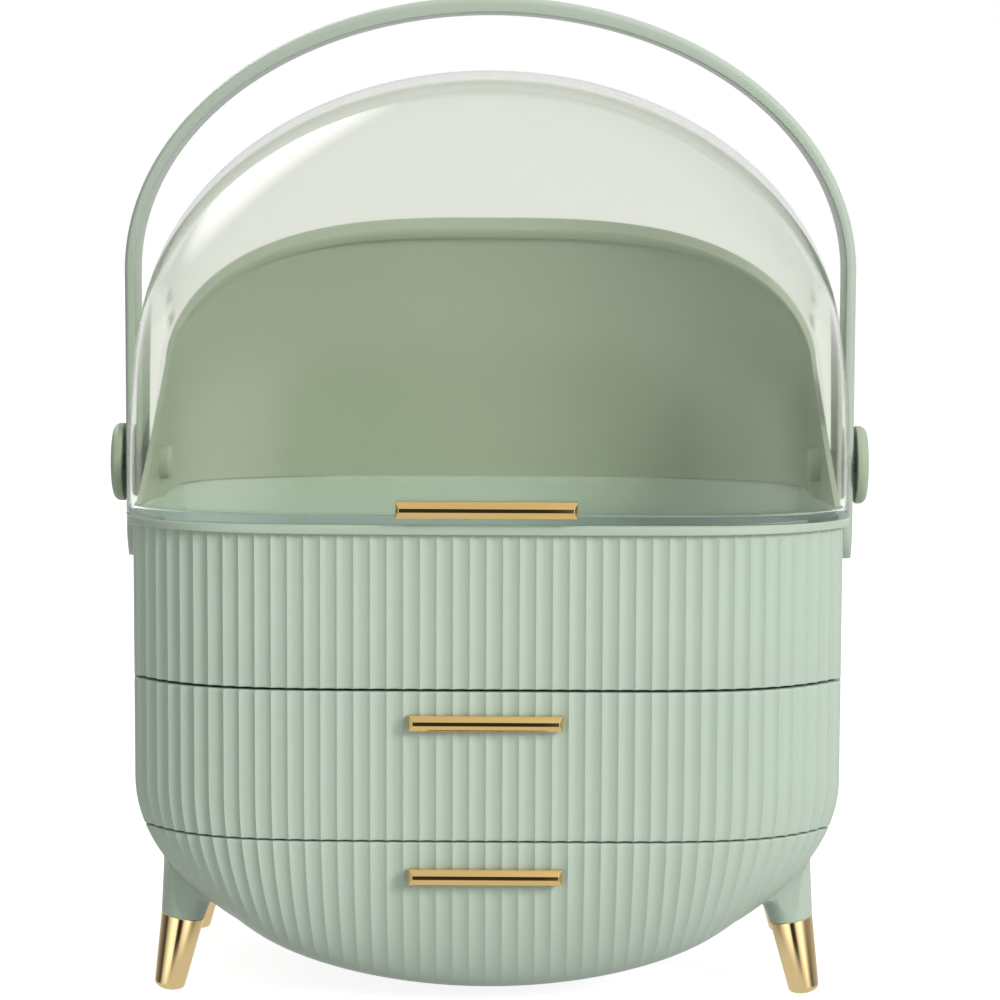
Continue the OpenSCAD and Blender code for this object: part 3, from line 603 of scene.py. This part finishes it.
# a point of the egg-shaped front; fall runs from 0 at the lower seam to 90 degrees under the bowl
def eggPoint(place, z, fall, inset, flutedShare=1):
    x, y, turn = planAt(place[0])
    halfWidth, inward = body["halfWidth"], body["inward"]
    share = (x / halfWidth) ** inward
    low, fade, back, level = z, 1, 0, math.cos(fall)
    if fall > 0:
        endX = halfWidth * (inward - 1) / inward if share > 0.999 else (x - halfWidth * share) / (1 - share)
        endZ = body["eggZ"] - (body["eggZ"] - body["bowlZ"]) * math.sqrt(1 - (endX / halfWidth) ** 2)
        low = body["seamLow"] - (body["seamLow"] - endZ) * math.sin(fall)
        fade = max(level, 0) ** 0.6 * (1 - 0.8 * share * math.sin(fall))
        back = min(body["rollUnder"], max(-body["splitY"] - y - 1, 0)) * (1 - level)
    depth = inset + body["fluteDepth"] * scallop(place[1]) * fade * flutedShare
    across = x - (halfWidth - halfWidthAt(low)) * share
    return (sideOf(place[0]) * max(0, across - depth * math.sin(turn) * level),
            min(y + depth * math.cos(turn) * level + back, -body["splitY"] - 0.3),
            low + inset * math.sin(fall))


# heights from one to another, closer together where the sides curve in
def heights(top, foot):
    span = 4 if foot < body["eggZ"] else 20
    return [z for z in range(int(top) - 1, int(foot) + 1, -1) if z % span == 0]


# seam is how much the upper front is lowered, so that the line above it shows
front = {"seam": 0.3, "topRound": 0.7, "footRound": 0.5, "roundCuts": 4, "fallCuts": 30, "binFloor": 3,
         "boxFloor": 2}


# the rounded top or foot of a wall, as (inset, height) pairs from the inside to the outside
def roundedEnd(radius, z, way):
    turns = spread(0, math.pi / 2, front["roundCuts"])
    return [(radius * (1 - math.sin(a)), z - way * radius * (1 - math.cos(a))) for a in turns]


# the point straight behind another, where a front ends
def toBack(p):
    return p[0], -body["splitY"], p[2]


# columns of a hollow front between two heights, with a floor behind its foot
def straightFront(top, foot, floorTop):
    columns = []
    levels = heights(top, foot)
    footRound = list(reversed(roundedEnd(front["footRound"], foot, -1)))
    innerLevels = [floorTop + 0.01] + [z for z in reversed(levels) if z > floorTop + 1] + [top]
    for place in flutedPlaces:
        outer = [eggPoint(place, z, 0, inset) for inset, z in roundedEnd(front["topRound"], top, 1)]
        outer += [eggPoint(place, z, 0, 0) for z in levels]
        outer += [eggPoint(place, z, 0, inset) for inset, z in footRound]
        inner = [eggPoint(place, z, 0, body["skin"], 0) for z in innerLevels]
        columns.append(outer + [toBack(outer[-1]), toBack(inner[0])] + inner)
    return columns


# columns of a hollow shell that rolls under the bowl
def bowlFront(top, roofed):
    columns = []
    falls = spread(0, math.pi / 2, front["fallCuts"])[1:]
    levels = heights(top, body["seamLow"]) + ([body["seamLow"]] if roofed else [])
    roof = top - body["wall"] if roofed else top
    innerLevels = [z for z in reversed(levels) if z < roof - 1] + [roof]
    for place in flutedPlaces:
        outer = [eggPoint(place, z, 0, inset) for inset, z in roundedEnd(front["topRound"], top, 1)]
        outer += [eggPoint(place, z, 0, 0) for z in levels]
        outer += [eggPoint(place, 0, fall, 0) for fall in falls]
        inner = [eggPoint(place, 0, fall, body["skin"], 0) for fall in reversed(falls)]
        inner += [eggPoint(place, z, 0, body["skin"], 0) for z in innerLevels]
        column = outer + [toBack(outer[-1]), toBack(inner[0])] + inner
        if roofed:
            column += [toBack(inner[-1]), toBack(outer[0])]
        columns.append(column)
    return columns


def makeFronts():
    upper = straightFront(edge("upper_drawer_front", 1, 2) - front["seam"], edge("upper_drawer_front", 0, 2),
                          edge("upper_drawer_box", 0, 2) + front["boxFloor"])
    lower = bowlFront(edge("lower_drawer_front", 1, 2), False)
    rear = bowlFront(edge("rear_cover", 1, 2), True)
    fronts = [
        ("upperFront", upper, 1, "upper_drawer", "upper_drawer_front"),
        ("lowerFront", lower, 1, "lower_drawer", "lower_drawer_front"),
        ("rearCover", rear, -1, "base", "rear_cover"),
    ]
    for name, columns, way, rides, stands in fronts:
        bm = bmesh.new()
        joinColumns(bm, [[point(x, way * y, z) for x, y, z in column] for column in columns], True, False)
        addPiece(name, bm, "sagePlastic", rides, [stands])
        print("fluted piece made:", name)


# the whole plan outline: the fluted front, a plain side, the fluted back and the other side
def ringColumns(places, section):
    outline = [[planPoint(place, inset, fluted, z) for inset, z, fluted in section] for place in places]
    ahead = [[point(x, y, z) for x, y, z in column] for column in outline]
    return ahead + [[point(x, -y, z) for x, y, z in column] for column in reversed(outline)]


def makeBin():
    skin, foot, top = body["skin"], body["binFoot"], body["binTop"]
    section = [(skin, foot + front["binFloor"], 0), (skin, top, 0)]
    section += [(0, top - drop, 1) for drop in (0, 6, 20, 40)]
    section += [(inset, z, 1) for inset, z in reversed(roundedEnd(front["topRound"], foot, -1))]
    bm = bmesh.new()
    joinColumns(bm, ringColumns(flutedPlaces, section), False, True)
    addPiece("flutedBin", bm, "sagePlastic", "base", ["bin"])
    print("bin made")


rim = {"out": edge("rim_band", 1, 0) - body["halfWidth"], "topRound": 1.3, "footRound": 0.6, "placeCuts": 240}


def makeRim():
    skin, foot, top, out = body["skin"], body["binTop"], body["rimTop"], rim["out"]
    section = [(skin, foot, 0), (skin, top - 0.5, 0), (skin - 0.5, top, 0)]
    section += [(inset - out, z, 0) for inset, z in roundedEnd(rim["topRound"], top, 1)]
    section += [(inset - out, z, 0) for inset, z in reversed(roundedEnd(rim["footRound"], foot, -1))]
    whole = bowLen + cornerLen
    places = [(s, 0) for s in spread(-whole, whole, rim["placeCuts"])]
    bm = bmesh.new()
    joinColumns(bm, ringColumns(places, section), True, True)
    addPiece("rimBand", bm, "rimPlastic", "base", ["rim_band"], sharp=45)
    print("rim made")


makeFronts()
makeBin()
makeRim()


dome = {
    "x": edge("clear_cover", 1, 0) - 1.5, "y": 108, "top": 172.5, "start": math.radians(50), "wall": 2.2,
    "foot": 0.6, "over": 0.305, "footRound": (5, 1.8), "overRound": (2, 2),
    "footGap": 0.3, "flangeOut": 1.5, "flangeHigh": 4.4, "flangeRound": 0.5,
    "footChamfer": 0.4,
    "earRadius": 15.2, "earCuts": 28, "flangeEnd": 19, "roundCuts": 44, "angleCuts": 60, "pinHole": 3.08,
}
hood = {
    "in": 3.0, "wall": 2.6, "angle": math.radians(53), "square": 0.5, "beadDeep": 6.5,
    "beadWide": math.radians(2.2),
    "wingReach": 62, "wingSlope": math.radians(30), "wingBend": 24, "wingTip": 2,
    "wingCuts": 14, "angleCuts": 30,
    "edgeRound": 0.6, "footFrom": 40,
}
pivotUp = pivotZ - body["rimTop"]


def domeReach(angle, inset):
    deep, high = dome["y"] - inset, dome["top"] - inset
    return 1 / math.hypot(math.cos(angle) / deep, math.sin(angle) / high)


# shares and powers of a section of the dome, at an angle from the back
def domeShape(isHood, angle):
    foot = math.cos(angle) ** 2
    if isHood:
        foot = mix(math.cos(hood["angle"]) ** 2, foot, hood["square"])
    powers = [mix(a, b, foot) for a, b in zip(dome["overRound"], dome["footRound"])]
    return mix(dome["over"], dome["foot"], foot), powers


# a section from left to right; inset is a depth or a function of how high the point stands on the arch
def domeRow(isHood, angle, inset, drop=0, sideReaches=()):
    straight, powers = domeShape(isHood, angle)
    half = [(dome["x"] - depth, reach) for reach, depth in sideReaches]
    for a in spread(0, math.pi / 2, dome["roundCuts"]):
        depth = inset(math.sin(a)) if callable(inset) else inset
        across = (dome["x"] - depth) * max(math.cos(a), 0) ** (2 / powers[0])
        half.append((across, domeReach(angle, depth) * mix(straight, 1, math.sin(a) ** (2 / powers[1]))))
    row = [(-x, out) for x, out in half] + [(x, out) for x, out in reversed(half[:-1])]
    return [(x, out * math.cos(angle), out * math.sin(angle) + pivotZ - drop) for x, out in row]


# a wall between outer and inner rows; each flat side is a fan between a loop of points and the pin hole
def domeShell(outerRows, innerRows, loop, outerX, innerX):
    width, faces, skins = len(outerRows[0]), [], []
    for rows, sideX in ((outerRows, outerX), (innerRows, innerX)):
        places = [p for row in rows for p in row]
        for way in (-1, 1):
            for kind, value in loop:
                if kind == "free":
                    places.append((way * sideX, value[0], value[1] + pivotZ))
            for kind, value in loop:
                y, z = (rows[value][0][1], rows[value][0][2] - pivotZ) if kind == "row" else value
                size = dome["pinHole"] / math.hypot(y, z)
                places.append((way * sideX, y * size, z * size + pivotZ))
        skins.append(places)
    for i in range(len(outerRows) - 1):
        for j in range(width - 1):
            a = i * width + j
            faces.append((a, a + 1, a + width + 1, a + width))
    start = len(outerRows) * width
    frees = sum(kind == "free" for kind, value in loop)
    for way in (-1, 1):
        ends, free = [], start
        for kind, value in loop:
            if kind == "row":
                ends.append(value * width + (0 if way < 0 else width - 1))
            else:
                ends.append(free)
                free += 1
        for i in range(len(loop)):
            k = (i + 1) % len(loop)
            quad = (ends[i], ends[k], free + k, free + i)
            faces.append(quad if way < 0 else tuple(reversed(quad)))
        start += frees + len(loop)
    sides = [pair for face in faces for pair in zip(face, face[1:] + face[:1])]
    used = {}
    for pair in sides:
        used[frozenset(pair)] = used.get(frozenset(pair), 0) + 1
    rims = [pair for pair in sides if used[frozenset(pair)] == 1]
    bm = bmesh.new()
    verts = [[bm.verts.new(point(*p)) for p in places] for places in skins]
    for face in faces:
        bm.faces.new([verts[0][k] for k in face])
        bm.faces.new([verts[1][k] for k in reversed(face)])
    for a, b in rims:
        bm.faces.new((verts[0][b], verts[0][a], verts[1][a], verts[1][b]))
    return bm


# the flange stands proud at the front and is flush at the sides
def proud(inset):
    return lambda share: inset * share if inset < 0 else inset


def makeCover():
    wall, ear, out = dome["wall"], dome["earRadius"], dome["flangeOut"]
    foot = pivotUp - dome["footGap"]
    lift = pivotUp - dome["flangeHigh"]
    soft, chamfer = dome["flangeRound"], dome["footChamfer"]
    outerSides = [(ear, 0), (dome["flangeEnd"], 0)]
    innerSides = [(ear, wall), (dome["flangeEnd"], wall)]
    skirt = [(0, lift / 2), (0, lift - 0.6), (0.15 - out * 0.4, lift), (-out + 0.12, lift + soft * 0.6),
             (-out, lift + soft), (-out, foot - chamfer), (-out + chamfer, foot)]
    rows = [(angle, 0, 0) for angle in spread(dome["start"], math.pi, dome["angleCuts"])]
    rows += [(math.pi, inset, drop) for inset, drop in skirt]
    outer = [domeRow(False, angle, proud(inset), drop, outerSides) for angle, inset, drop in rows]
    inner = [domeRow(False, angle, wall, drop, innerSides) for angle, inset, drop in rows]
    loop = [("row", i) for i in range(len(outer))]
    loop += [("free", (-ear / 2, -foot))]
    loop += [("free", (ear * math.cos(a), ear * math.sin(a)))
             for a in spread(-math.pi / 2, dome["start"], dome["earCuts"])[:-1]]
    bm = domeShell(outer, inner, loop, dome["x"], dome["x"] - wall)
    cover = addPiece("clearCover", bm, "clearAcrylic", "cover", ["clear_cover"], sharp=40)
    lampFree.objects.link(cover)
    lampFree.collection_objects[0].light_linking.link_state = "EXCLUDE"
    print("clear cover made")


# the depth of the inner face of the hood: its free edge is a bead, deeper over the top than at the sides
def hoodInner(bead):
    return lambda share: hood["in"] + mix(hood["wall"], hood["beadDeep"], bead * share ** 1.5)


# the upper edge of a side wing, in (y, height) from its front end up to the free edge of the hood
def wingEdge():
    top, slope = hood["angle"], hood["wingSlope"]
    along = (math.cos(slope), math.sin(slope))
    edgeWay = (math.cos(top), math.sin(top))
    rise = hood["wingReach"] * math.sin(slope) - (pivotUp - hood["wingTip"]) * math.cos(slope)
    wingOut = rise / math.sin(top - slope)
    last = domeReach(top, hood["in"]) * domeShape(True, top)[0] - wingOut
    places = []
    for u in spread(0, 1, hood["wingCuts"])[:-1]:
        places.append(tuple(wingOut * edgeWay[k] - (1 - u) ** 2 * hood["wingBend"] * along[k]
                            + u ** 2 * last * edgeWay[k] for k in (0, 1)))
    return places


def makeHood():
    depth, wide, top, reach = hood["in"], hood["beadWide"], hood["angle"], hood["wingReach"]
    tipTurn = math.radians(hood["edgeRound"] / 2.4)
    beadRows = [(tipTurn, 1), (wide / 2, 1), (wide, 0.8), (wide * 1.25, 0.25), (wide * 1.5, 0)]
    deep = depth + hood["wall"]
    rows = [(top, depth + hood["edgeRound"], hoodInner(0.9), 0)]
    rows += [(top - turn, depth, hoodInner(bead), 0) for turn, bead in beadRows]
    rows += [(angle, depth, deep, 0) for angle in spread(top - wide * 2, 0, hood["angleCuts"])]
    rows += [(0, depth, deep, pivotUp)]
    outer = [domeRow(True, angle, inset, drop) for angle, inset, under, drop in rows]
    inner = [domeRow(True, angle, under, drop) for angle, inset, under, drop in rows]
    loop = [("row", i) for i in range(len(outer))]
    loop += [("free", (y, -pivotUp)) for y in spread(hood["footFrom"], -reach, 8)]
    loop += [("free", (-reach, hood["wingTip"] - pivotUp))]
    loop += [("free", place) for place in wingEdge()]
    bm = domeShell(outer, inner, loop, dome["x"] - depth, dome["x"] - deep)
    addPiece("backHood", bm, "shadedHoodPlastic", "base", ["back_hood"], sharp=35)
    print("hood made")


makeCover()
makeHood()


handle = {
    "inX": edge("hinge_washer_right", 1, 0) + 0.25, "outX": edge("carry_handle", 1, 0),
    "top": edge("carry_handle", 1, 2), "foot": edge("carry_handle", 0, 2), "archZ": 308, "gripThick": 7.2,
    "halfWide": (edge("carry_handle", 1, 1) - edge("carry_handle", 0, 1)) / 2, "archCuts": 96, "tailCuts": 10,
    "drillPast": 1, "outerRound": 2.6, "innerRound": 0.7, "crown": 0.5, "cornerCuts": 6, "pinHole": 3.08,
}


# a cross-section as (depth out, distance across): an outer face with soft corners and a crisp inner face
def handleSection(thick, halfWide):
    outer = min(handle["outerRound"], halfWide * 0.8)
    inner = min(handle["innerRound"], halfWide * 0.4)
    turns = spread(0, math.pi / 2, handle["cornerCuts"])
    top = thick - handle["crown"]
    half = [(thick, 0), (thick - handle["crown"] * 0.25, halfWide * 0.5)]
    half += [(top - outer + outer * math.cos(a), halfWide - outer + outer * math.sin(a)) for a in turns]
    half += [(inner - inner * math.sin(a), halfWide - inner + inner * math.cos(a)) for a in turns]
    half.append((0, 0))
    return half + [(depth, -across) for depth, across in reversed(half[1:-1])]


# cuts a round hole along x through a mesh object
def drillAlongX(obj, x0, x1, radius):
    bm = bmesh.new()
    bmesh.ops.create_cone(bm, cap_ends=True, segments=48, radius1=radius * mm, radius2=radius * mm,
                          depth=(x1 - x0) * mm, matrix=Matrix.Translation(point((x0 + x1) / 2, 0, pivotZ))
                          @ Matrix.Rotation(math.pi / 2, 4, "Y"))
    cutter = newObject("drill", newMesh("drill", bm))
    cut = obj.modifiers.new("hole", "BOOLEAN")
    cut.operation = "DIFFERENCE"
    cut.solver = "EXACT"
    cut.object = cutter
    drilled = bpy.data.meshes.new_from_object(obj.evaluated_get(bpy.context.evaluated_depsgraph_get()))
    obj.modifiers.clear()
    obj.data = drilled
    bpy.data.objects.remove(cutter)


def makeHandle():
    inX, outX, archZ, wide = handle["inX"], handle["outX"], handle["archZ"], handle["halfWide"]
    outHigh = handle["top"] - archZ
    inHigh = outHigh - handle["gripThick"]
    rows = []
    for b in spread(0, math.pi / 2, handle["tailCuts"])[1:]:
        z = handle["foot"] + wide * (1 - math.cos(b))
        rows.append(((inX, z), (outX, z), wide * math.sin(b)))
    rows += [((inX, z), (outX, z), wide) for z in spread(handle["foot"] + wide + 4, archZ - 4, 12)]
    arch = []
    for a in spread(0, math.pi, handle["archCuts"]):
        across, up = math.cos(a), math.sin(a)
        arch.append(((inX * across, archZ + inHigh * up), (outX * across, archZ + outHigh * up), wide))
    left = [((-inner[0], inner[1]), (-outer[0], outer[1]), half) for inner, outer, half in reversed(rows)]
    columns = []
    for inner, outer, half in rows + arch + left:
        thick = math.dist(inner, outer)
        column = []
        for depth, across in handleSection(thick, half):
            share = depth / thick
            column.append(point(mix(inner[0], outer[0], share), across, mix(inner[1], outer[1], share)))
        columns.append(column)
    bm = bmesh.new()
    joinColumns(bm, columns, True, False)
    piece = addPiece("carryHandle", bm, "handlePlastic", "handle", ["carry_handle"], sharp=40)
    for way in (-1, 1):
        ends = sorted((way * (inX - handle["drillPast"]), way * (outX + handle["drillPast"])))
        drillAlongX(piece, *ends, handle["pinHole"])
    print("handle made")


# rows of a turned profile of (radius, height) pairs round an axis from a foot point
def turned(profile, foot, axis, sides):
    side = axis.orthogonal().normalized()
    other = axis.cross(side)
    columns = []
    for i in range(sides):
        a = 2 * math.pi * i / sides
        out = side * math.cos(a) + other * math.sin(a)
        columns.append([foot + (out * radius + axis * height) * mm for radius, height in profile])
    return columns


def arc(radius, height, size, first, last, cuts):
    return [(radius + size * math.cos(a), height + size * math.sin(a)) for a in spread(first, last, cuts)]


cap = {"radius": 17.2, "round": 3.1, "edge": 0.5, "sides": 96}


def makeCaps():
    quarter = math.pi / 2
    for side, way in (("left", -1), ("right", 1)):
        node = "hinge_cap_" + side
        thick = edge(node, 1, 0) - edge(node, 0, 0)
        innerX = edge(node, 0, 0) if way > 0 else edge(node, 1, 0)
        profile = [(1e-3, 0), (cap["radius"] - cap["edge"], 0)]
        profile += arc(cap["radius"] - cap["edge"], cap["edge"], cap["edge"], -quarter, 0, 4)
        profile += arc(cap["radius"] - cap["round"], thick - cap["round"], cap["round"], 0, quarter, 10)
        profile += [(1e-3, thick)]
        bm = bmesh.new()
        columns = turned(profile, point(innerX, 0, pivotZ), Vector((way, 0, 0)), cap["sides"])
        joinColumns(bm, columns, False, True)
        addPiece("hingeCap" + side.capitalize(), bm, "capPlastic", "base", [node], sharp=50)
    print("hinge caps made")


pull = {"ridge": 1.8, "endBevel": 1.3, "bevelDeep": 0.8, "soft": 0.22, "thick": 5.8, "postRadius": 2.4,
        "postInset": 8, "postFront": 3}


# a bar with bevelled faces and mitred ends, on two posts
def makePull(name, node, rides):
    x1, z0, z1 = edge(node, 1, 0), edge(node, 0, 2), edge(node, 1, 2)
    frontY, backY = edge(node, 0, 1) - pivotY, edge(node, 1, 1) - pivotY
    middle = (z0 + z1) / 2
    bevel = (z1 - z0 - pull["ridge"]) / 2
    whole = (z1 - z0) / 2
    steps = [(frontY + pull["thick"], x1, whole), (frontY + bevel * pull["bevelDeep"], x1, whole),
             (frontY, x1 - pull["endBevel"], pull["ridge"] / 2)]
    corners = ((-1, -1), (1, -1), (1, 1), (-1, 1))
    rings = [[point(sx * x, y, middle + sz * half) for sx, sz in corners] for y, x, half in steps]
    bm = bmesh.new()
    joinColumns(bm, rings, True, False)
    bmesh.ops.bevel(bm, geom=bm.edges[:], offset=pull["soft"] * mm, segments=3, profile=0.6, affect="EDGES")
    addPiece(name, bm, "goldPull", rides, [node], sharp=30)
    posts = bmesh.new()
    reach = backY - frontY - pull["postFront"]
    post = [(1e-3, 0), (pull["postRadius"], 0), (pull["postRadius"], reach), (1e-3, reach)]
    for way in (-1, 1):
        foot = point(way * (x1 - pull["postInset"]), frontY + pull["postFront"], middle)
        joinColumns(posts, turned(post, foot, Vector((0, 1, 0)), 32), False, True)
    addPiece(name + "Posts", posts, "goldPull", rides, sharp=40)


def makePulls():
    makePull("upperPull", "upper_drawer_pull", "upper_drawer")
    makePull("lowerPull", "lower_drawer_pull", "lower_drawer")
    makePull("coverPull", "cover_pull", "cover")
    print("pulls made")


tip = {"x": 137.5, "y": 56, "lean": math.radians(11), "height": 33, "topRadius": 9.25, "footRadius": 6.65,
       "round": 3, "topRound": 0.5, "sides": 96}


# the legs lean inward as they go up
def legAxis(wayX):
    return Vector((-wayX * math.sin(tip["lean"]), 0, math.cos(tip["lean"])))


def makeTips():
    quarter = math.pi / 2
    slope = math.atan((tip["topRadius"] - tip["footRadius"]) / tip["height"])
    footRound, topRound = tip["round"], tip["topRound"]
    profile = [(0, 0)] + arc(tip["footRadius"] - footRound, footRound, footRound, -quarter, -slope, 8)
    profile += arc(tip["topRadius"] - topRound, tip["height"] - topRound, topRound, 0, quarter, 4)
    profile += [(0, tip["height"])]
    for end, wayY in (("front", -1), ("back", 1)):
        for side, wayX in (("left", -1), ("right", 1)):
            bm = bmesh.new()
            foot = point(wayX * tip["x"], wayY * tip["y"], 0)
            joinColumns(bm, turned(profile, foot, legAxis(wayX), tip["sides"]), False, True)
            bmesh.ops.remove_doubles(bm, verts=bm.verts, dist=1e-5)
            cutFlat(bm, Vector((0, 0, 0)), Vector((0, 0, -1)))
            name = "tip" + end.capitalize() + side.capitalize()
            addPiece(name, bm, "goldTip", "base", ["leg_tip_" + end + "_" + side], sharp=40)
    print("leg tips made")


makeHandle()
makeCaps()
makePulls()
makeTips()


casing = {"skin": 0.08, "inner": 1.5, "front": -65.5, "back": 65.9, "top": edge("casing", 1, 2),
          "below": 0.2, "arcCuts": 120,
          "tipGap": 0.02, "socketHigh": 34, "socketRadius": 14, "blend": 6.5, "blendCuts": 9, "sides": 72}


# half the width and the depth of the egg-shaped underside, grown by a distance
def eggSize(grow):
    return body["halfWidth"] + grow, body["eggZ"] - body["bowlZ"] + grow


# a point of the underside, at an angle down from its widest level
def eggAt(angle, grow):
    wide, deep = eggSize(grow)
    return wide * math.cos(angle), body["eggZ"] - deep * math.sin(angle)


# moves a point straight onto the underside
def ontoEgg(p, grow):
    wide, deep = eggSize(grow)
    for step in range(3):
        off = (p.x / wide) ** 2 + ((body["eggZ"] - p.z) / deep) ** 2 - 1
        steep = Vector((2 * p.x / wide ** 2, 0, -2 * (body["eggZ"] - p.z) / deep ** 2))
        p = p - steep * (off / steep.length_squared)
    return p


def eggNormal(p):
    wide, deep = eggSize(0)
    return Vector((p.x / wide ** 2, 0, -(body["eggZ"] - p.z) / deep ** 2)).normalized()


# how far along a line, in millimetres, the underside is met
def reachEgg(start, way, grow):
    wide, deep = eggSize(grow)
    x, z = start.x / wide, (start.z - body["eggZ"]) / deep
    dx, dz = way.x / wide, way.z / deep
    a, b, c = dx * dx + dz * dz, 2 * (x * dx + z * dz), x * x + z * z - 1
    return (-b - math.sqrt(max(b * b - 4 * a * c, 0))) / (2 * a)


def makeCasingSkin():
    top = casing["top"] - casing["below"]
    high = [(body["halfWidth"] + casing["skin"], top)]
    low = [(body["halfWidth"] - casing["inner"], top)]
    angles = spread(0, math.pi, casing["arcCuts"])
    outer = high + [eggAt(a, casing["skin"]) for a in angles] + [(-x, z) for x, z in high]
    inner = low + [eggAt(a, -casing["inner"]) for a in angles] + [(-x, z) for x, z in low]
    columns = [[point(x0, casing["front"], z0), point(x0, casing["back"], z0),
                point(x1, casing["back"], z1), point(x1, casing["front"], z1)]
               for (x0, z0), (x1, z1) in zip(outer, inner)]
    bm = bmesh.new()
    joinColumns(bm, columns, True, False)
    addPiece("casingSkin", bm, "sagePlastic", "base", sharp=40)


# a leg socket: a cone from the tip that flares into the underside of the body
def makeSocket(name, wayX, wayY):
    axis = legAxis(wayX)
    foot = Vector((wayX * tip["x"], wayY * tip["y"], 0))
    bottom = foot + axis * (tip["height"] + casing["tipGap"])
    top = foot + axis * (tip["height"] + casing["socketHigh"])
    side = axis.orthogonal().normalized()
    other = axis.cross(side)
    columns = []
    for i in range(casing["sides"]):
        a = 2 * math.pi * i / casing["sides"]
        out = side * math.cos(a) + other * math.sin(a)
        start = bottom + out * (tip["topRadius"] + casing["skin"])
        end = top + out * (casing["socketRadius"] + casing["skin"])
        way = (end - start).normalized()
        hit = start + way * reachEgg(start, way, casing["skin"])
        normal = eggNormal(hit)
        along = (out - normal * out.dot(normal)).normalized()
        near = hit - way * min(casing["blend"], (hit - start).length * 0.8)
        far = ontoEgg(hit + along * casing["blend"], casing["skin"])
        column = [bottom, start, start + (near - start) * 0.5]
        for t in spread(0, 1, casing["blendCuts"]):
            column.append(near * (1 - t) ** 2 + hit * 2 * t * (1 - t) + far * t ** 2)
        column.append(far - eggNormal(far) * casing["inner"])
        columns.append([point(*p) for p in column])
    bm = bmesh.new()
    joinColumns(bm, columns, False, True)
    bmesh.ops.remove_doubles(bm, verts=bm.verts, dist=1e-6)
    cut = casing["front"] if wayY < 0 else casing["back"]
    cutFlat(bm, point(0, cut, 0), Vector((0, wayY, 0)))
    addPiece(name, bm, "sagePlastic", "base", sharp=40)


def makeSockets():
    for end, wayY in (("Front", -1), ("Back", 1)):
        for side, wayX in (("Left", -1), ("Right", 1)):
            makeSocket("legSocket" + end + side, wayX, wayY)
    print("casing skin and leg sockets made")


makeCasingSkin()
makeSockets()
